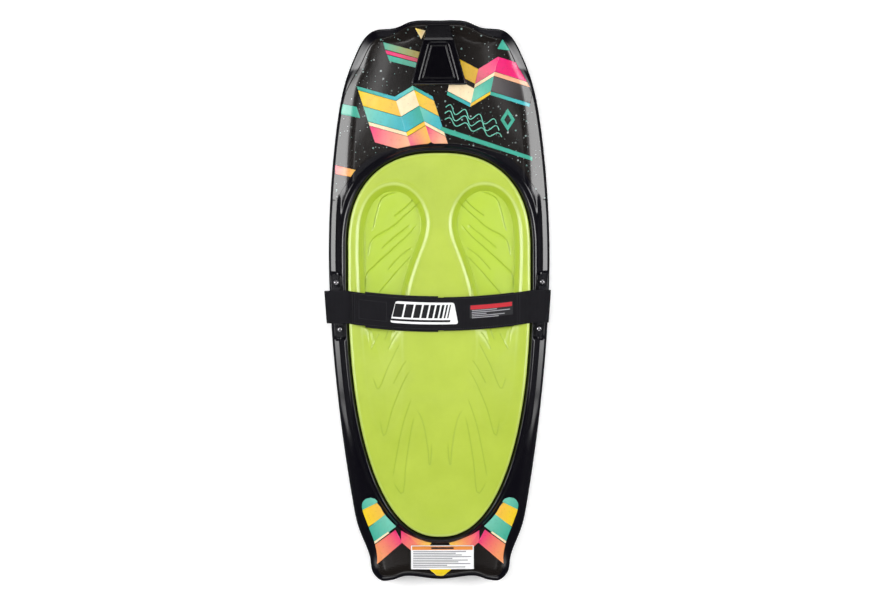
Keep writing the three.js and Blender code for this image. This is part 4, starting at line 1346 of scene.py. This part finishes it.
FILM_LIFT, PRINT_LIFT, PRINT_THICKNESS = 0.0009, 0.0012, 0.0002
LINE_ENDS = (128, 104, 118, 140, 96, 132, 110, 138, 84, 126)
LINE_PITCH = 3.95
film_outline = round_corners(label_box(0, 146, 0, 55), 0.002)
label_part("film", film_outline, FILM_WHITE, FILM_LIFT, 0.0004, "tail_label")
label_part("header", label_box(2.5, 143.5, 2, 10.5), FILM_ORANGE, PRINT_LIFT, PRINT_THICKNESS)
label_part("title", label_box(47, 99, 4.2, 8.4), LABEL_BLACK, PRINT_LIFT + 0.0002, PRINT_THICKNESS)
for i, end in enumerate(LINE_ENDS):
    line = label_box(5, end, 13.4 + LINE_PITCH * i, 15.2 + LINE_PITCH * i)
    label_part(f"line_{i}", line, FILM_GREY, PRINT_LIFT, PRINT_THICKNESS)


# -------- nose hook

hook_low, hook_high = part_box("nose_hook")
HOOK_FRONT_HALF = 0.025
HOOK_MIDDLE = mm((570, 112))
HOOK_PROFILE = mm([
    (640, 90), (640, 99), (639, 103.5), (636, 107), (608, 120.6), (604, 122.4), (601.5, 123.3),
    (599.5, 123.8), (597.5, 124), (512, 124), (503, 123.8), (499.5, 122), (498.2, 119.5),
    (499.5, 116.8), (503, 116), (509, 116.2), (514, 117.6), (522, 118), (580, 118),
    (587, 116.5), (590, 112), (590.5, 100), (590, 90),
])
TRAY_MIDDLE, TRAY_HALF_LENGTH = 0.5515, 0.0455
TRAY_FRONT_HALF, TRAY_REAR_HALF = 0.0225, 0.047


def hook_half(y):
    """Half the hook's width, which grows from its nose end to its free end."""
    share = np.clip((hook_high.y - y) / (hook_high.y - hook_low.y), 0, 1)
    return HOOK_FRONT_HALF + (hook_high.x - HOOK_FRONT_HALF) * share


def hook_recess(x, y):
    """Depth of the tray in the hook's top: an outer step and, further in, a second one."""
    share = np.clip((TRAY_MIDDLE + TRAY_HALF_LENGTH - y) / (2 * TRAY_HALF_LENGTH), 0, 1)
    half = TRAY_FRONT_HALF + (TRAY_REAR_HALF - TRAY_FRONT_HALF) * share
    distance = rounded_box(np.abs(x) - half, np.abs(y - TRAY_MIDDLE) - TRAY_HALF_LENGTH, 0.007)
    inner = distance + 0.0080
    return 0.0014 * (1 - smooth(distance, -0.0016, 0.0010)) + 0.0020 * (1 - smooth(inner, -0.0018, 0.0012))


def nose_hook():
    """The hook is a side profile carried across its width, drawn in at both sides."""
    round_from, draw_in = 0.93, 0.0042
    back = np.array([HOOK_PROFILE[-1], HOOK_PROFILE[0]])
    profile = np.vstack([resample(HOOK_PROFILE[:9], 60), resample(HOOK_PROFILE[8:10], 150)[1:],
                         resample(HOOK_PROFILE[9:], 80)[1:], resample(back, 20)[1:-1]])
    end = np.array([0.955, 0.974, 0.987, 0.995, 0.999, 1])
    shares = np.concatenate([-end[::-1], np.linspace(-round_from, round_from, 171), end])
    on_top = smooth(profile[:, 1], 0.1205, 0.1225)
    rings = []
    for share in shares:
        into_round = max(0.0, (abs(share) - round_from) / (1 - round_from))
        draw = draw_in * (1 - math.sqrt(max(0.0, 1 - into_round ** 2)))
        y, z = (profile + np.clip((HOOK_MIDDLE - profile) * 8, -draw, draw)).T
        x = share * hook_half(y)
        rings.append(np.column_stack([x, y, z - hook_recess(x, y) * on_top]))
    piece(capped_tube("nose_hook_moulding", rings, HOOK_PLASTIC), "hook_plastic", "nose_hook")


nose_hook()


# -------- screws and other small parts

def turned_piece(name, node, slot, material, segments, radii, face, foot):
    """Body turned about a CAD node's upright axis: a carved face, then (radius, height) pairs."""
    low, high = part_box(node)
    centre = ((low.x + high.x) / 2, (low.y + high.y) / 2)
    angle = np.arange(segments) / segments * 2 * math.pi
    circle = np.stack([np.cos(angle), np.sin(angle)], 1)
    rows = [at_height(centre + r * circle, face(*(r * circle).T, r)) for r in radii]
    rows += [at_height(centre + r * circle, z) for r, z in foot]
    piece(grid_object(name, rows, material), slot, node)


def cross_screw(name, node, material, slot):
    """Pan head screw with a cross recess."""
    low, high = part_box(node)
    head, head_height, shaft = 0.006, 0.004, 0.0025
    under_head = high.z - head_height

    def face(x, y, radius):
        arm, reach = np.minimum(np.abs(x), np.abs(y)), np.maximum(np.abs(x), np.abs(y))
        recess = (1 - smooth(arm, 0.0005, 0.0009)) * (1 - smooth(reach, 0.0026, 0.0031))
        return high.z - head_height * 0.62 * (radius / head) ** 3.2 - 0.0018 * recess

    radii = mm([0, 0.4, 0.8, 1.2, 1.6, 2, 2.4, 2.8, 3.2, 3.7, 4.3, 4.9, 5.4, 5.8, 6])
    foot = ((head, under_head), (shaft, under_head), (shaft, low.z + 0.002), (shaft * 0.3, low.z),
            (0, low.z))
    turned_piece(name, node, slot, material, 64, radii, face, foot)


def fill_plug():
    """Round plug in the underside, its slotted head a hair proud of the skin."""
    low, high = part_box("foam_fill_plug")
    head = (high.x - low.x) / 2
    level = keel((low.y + high.y) / 2) - 0.0009

    def face(x, y, radius):
        share = radius / head
        slot = (1 - smooth(np.abs(y), 0.0010, 0.0014)) * (1 - smooth(np.abs(x), 0.0050, 0.0056))
        edge = 0.0009 * (1 - math.sqrt(1 - max(0.0, (share - 0.9) / 0.1) ** 2))
        return level + 0.0016 * slot + 0.0005 * smooth(share, 0.64, 0.72) + edge

    shares = np.array([0, 0.08, 0.14, 0.2, 0.3, 0.42, 0.52, 0.58, 0.64, 0.72, 0.82, 0.9, 0.95, 0.985, 1])
    foot = ((head, low.z + 0.003), (0.55 * head, low.z + 0.003), (0.5 * head, high.z), (0, high.z))
    turned_piece("fill_plug_moulding", "foam_fill_plug", "hull_plastic", BRACKET_PLASTIC, 72, head * shares,
                 face, foot)


def finish_node(node, material, width):
    """Gives a CAD body its material and softens its edges."""
    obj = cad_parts[node]
    for slot in obj.material_slots:
        slot.material = material
    soften_edges(obj, width)


for side in ("left", "right"):
    cross_screw(f"{side}_hook_pan_screw", f"{side}_hook_screw", BLACK_STEEL, "black_steel")
    finish_node(f"{side}_strap_bracket", BRACKET_PLASTIC, 0.0012)
    finish_node(f"{side}_hook_insert", BRASS, 0.0003)
    for end in ("front", "rear"):
        cross_screw(f"{side}_{end}_pan_screw", f"{side}_{end}_bracket_screw", STEEL, "bright_steel")
        finish_node(f"{side}_{end}_bracket_washer", STEEL, 0.0002)
        finish_node(f"{side}_{end}_bracket_insert", BRASS, 0.0003)
finish_node("fill_plug_seal", SEAL, 0.0003)
fill_plug()


# -------- stage, light and camera

def make_stage():
    """Pale paper floor, dark to glossy rays, so that the black hull mirrors only the lights."""
    floor = bpy.data.meshes.new("floor")
    floor.from_pydata([(-8, -8, 0), (8, -8, 0), (8, 8, 0), (-8, 8, 0)], [], [(0, 1, 2, 3)])
    paper = Shader("paper", (0.93, 0.93, 0.93), 0.9)
    seen = paper.mix(paper.noise(2, 2), (0.92, 0.92, 0.92), (0.95, 0.95, 0.95))
    rays = paper.node("ShaderNodeLightPath").outputs
    paper.finish(Base_Color=paper.mix(rays["Is Glossy Ray"], seen, (0.05, 0.05, 0.055)),
                 Emission_Color=(1, 1, 1), Emission_Strength=paper.ramp(rays["Is Camera Ray"], 0.0, 0.28))
    obj = link_mesh("floor", floor, paper.material, False)
    obj.location.z = cad_low.z - 0.0005


def make_world():
    """Even light for diffuse surfaces; glossy rays see a dim horizon under a darker ceiling."""
    world = bpy.data.worlds.new("studio")
    bpy.context.scene.world = world
    world.use_nodes = True
    tree = world.node_tree
    direction = add_node(tree, "ShaderNodeTexCoord").outputs["Generated"]
    height = add_node(tree, "ShaderNodeSeparateXYZ", {0: direction}).outputs["Z"]
    ramp = add_node(tree, "ShaderNodeValToRGB", {0: height})
    ramp.color_ramp.interpolation = "EASE"
    stops = ramp.color_ramp.elements
    stops[0].position, stops[0].color = 0.05, (0.06, 0.06, 0.066, 1)
    stops[1].position, stops[1].color = 0.60, (0.015, 0.014, 0.018, 1)
    stops.new(0.30).color = (0.075, 0.075, 0.08, 1)
    glossy = add_node(tree, "ShaderNodeLightPath").outputs["Is Glossy Ray"]
    seen = add_node(tree, "ShaderNodeMix", data_type="RGBA")
    set_inputs(tree, seen, {0: glossy, 6: (0.22, 0.22, 0.22), 7: ramp.outputs[0]})
    tree.links.new(seen.outputs[2], tree.nodes["Background"].inputs[0])


def grade_light(lamp, axis):
    """Fades the lamp to nothing at both ends of its X or Y, as a soft box with a graded front does."""
    lamp.use_nodes = True
    tree = lamp.node_tree
    spot = add_node(tree, "ShaderNodeNewGeometry").outputs["Parametric"]
    across = add_node(tree, "ShaderNodeSeparateXYZ", {0: spot}).outputs[axis]
    offset = add_node(tree, "ShaderNodeMath", {0: across, 1: 0.5}, operation="SUBTRACT").outputs[0]
    distance = add_node(tree, "ShaderNodeMath", {0: offset}, operation="ABSOLUTE").outputs[0]
    fade = add_node(tree, "ShaderNodeMapRange", {"Value": distance, "From Min": 0.12, "From Max": 0.5,
                                                 "To Min": 1.35, "To Max": 0.0},
                    interpolation_type="SMOOTHSTEP")
    tree.links.new(fade.outputs["Result"], tree.nodes["Emission"].inputs["Strength"])


def area_light(name, place, aim, size, power, glossy=True, graded=None):
    lamp = bpy.data.lights.new(name, "AREA")
    lamp.shape = "RECTANGLE"
    lamp.size, lamp.size_y = size
    lamp.energy = power
    if graded:
        grade_light(lamp, graded)
    obj = bpy.data.objects.new(name, lamp)
    bpy.context.scene.collection.objects.link(obj)
    obj.location = place
    obj.rotation_euler = (Vector(aim) - Vector(place)).to_track_quat("-Z", "Y").to_euler()
    obj.visible_glossy = glossy


CAMERA_PLACE = (-0.0078, 0.0035, 5.693)
CAMERA_TURN = math.radians(-0.2)


def make_camera():
    """Straight above the deck, a hair off its middle and turned by a fifth of a degree."""
    camera = bpy.data.cameras.new("camera")
    camera.lens, camera.sensor_width = 100, 36
    obj = bpy.data.objects.new("camera", camera)
    bpy.context.scene.collection.objects.link(obj)
    obj.location = CAMERA_PLACE
    obj.rotation_euler.z = CAMERA_TURN
    bpy.context.scene.camera = obj


make_stage()
make_world()
make_camera()
for side, word in ((-1, "left"), (1, "right")):
    area_light(f"{word}_bank", (side * 2.3, 0.35, 2.2), (0, 0.35, 0.05), (2.4, 1.6), 64, graded="X")
area_light("left_streak", (-0.65, 0.1, 4.2), (-0.60, 0.1, 0), (1.2, 0.24), 2.6, graded="Y")
area_light("right_streak", (0.62, 0.1, 4.2), (0.57, 0.1, 0), (1.2, 0.20), 1.0, graded="Y")
area_light("overhead", (-0.3, 0.3, 4.4), (0, 0, 0), (1.8, 1.8), 43, glossy=False)
area_light("tail_bank", (0, -3.2, 2.4), (0, 0.1, 0.05), (3.0, 1.0), 18)
area_light("nose_bank", (0.2, 3.2, 2.4), (0, 0.2, 0.05), (3.0, 0.7), 12)
bpy.context.scene.view_settings.view_transform = "Standard"
bpy.context.scene.view_settings.look = "None"

bpy.context.view_layer.update()
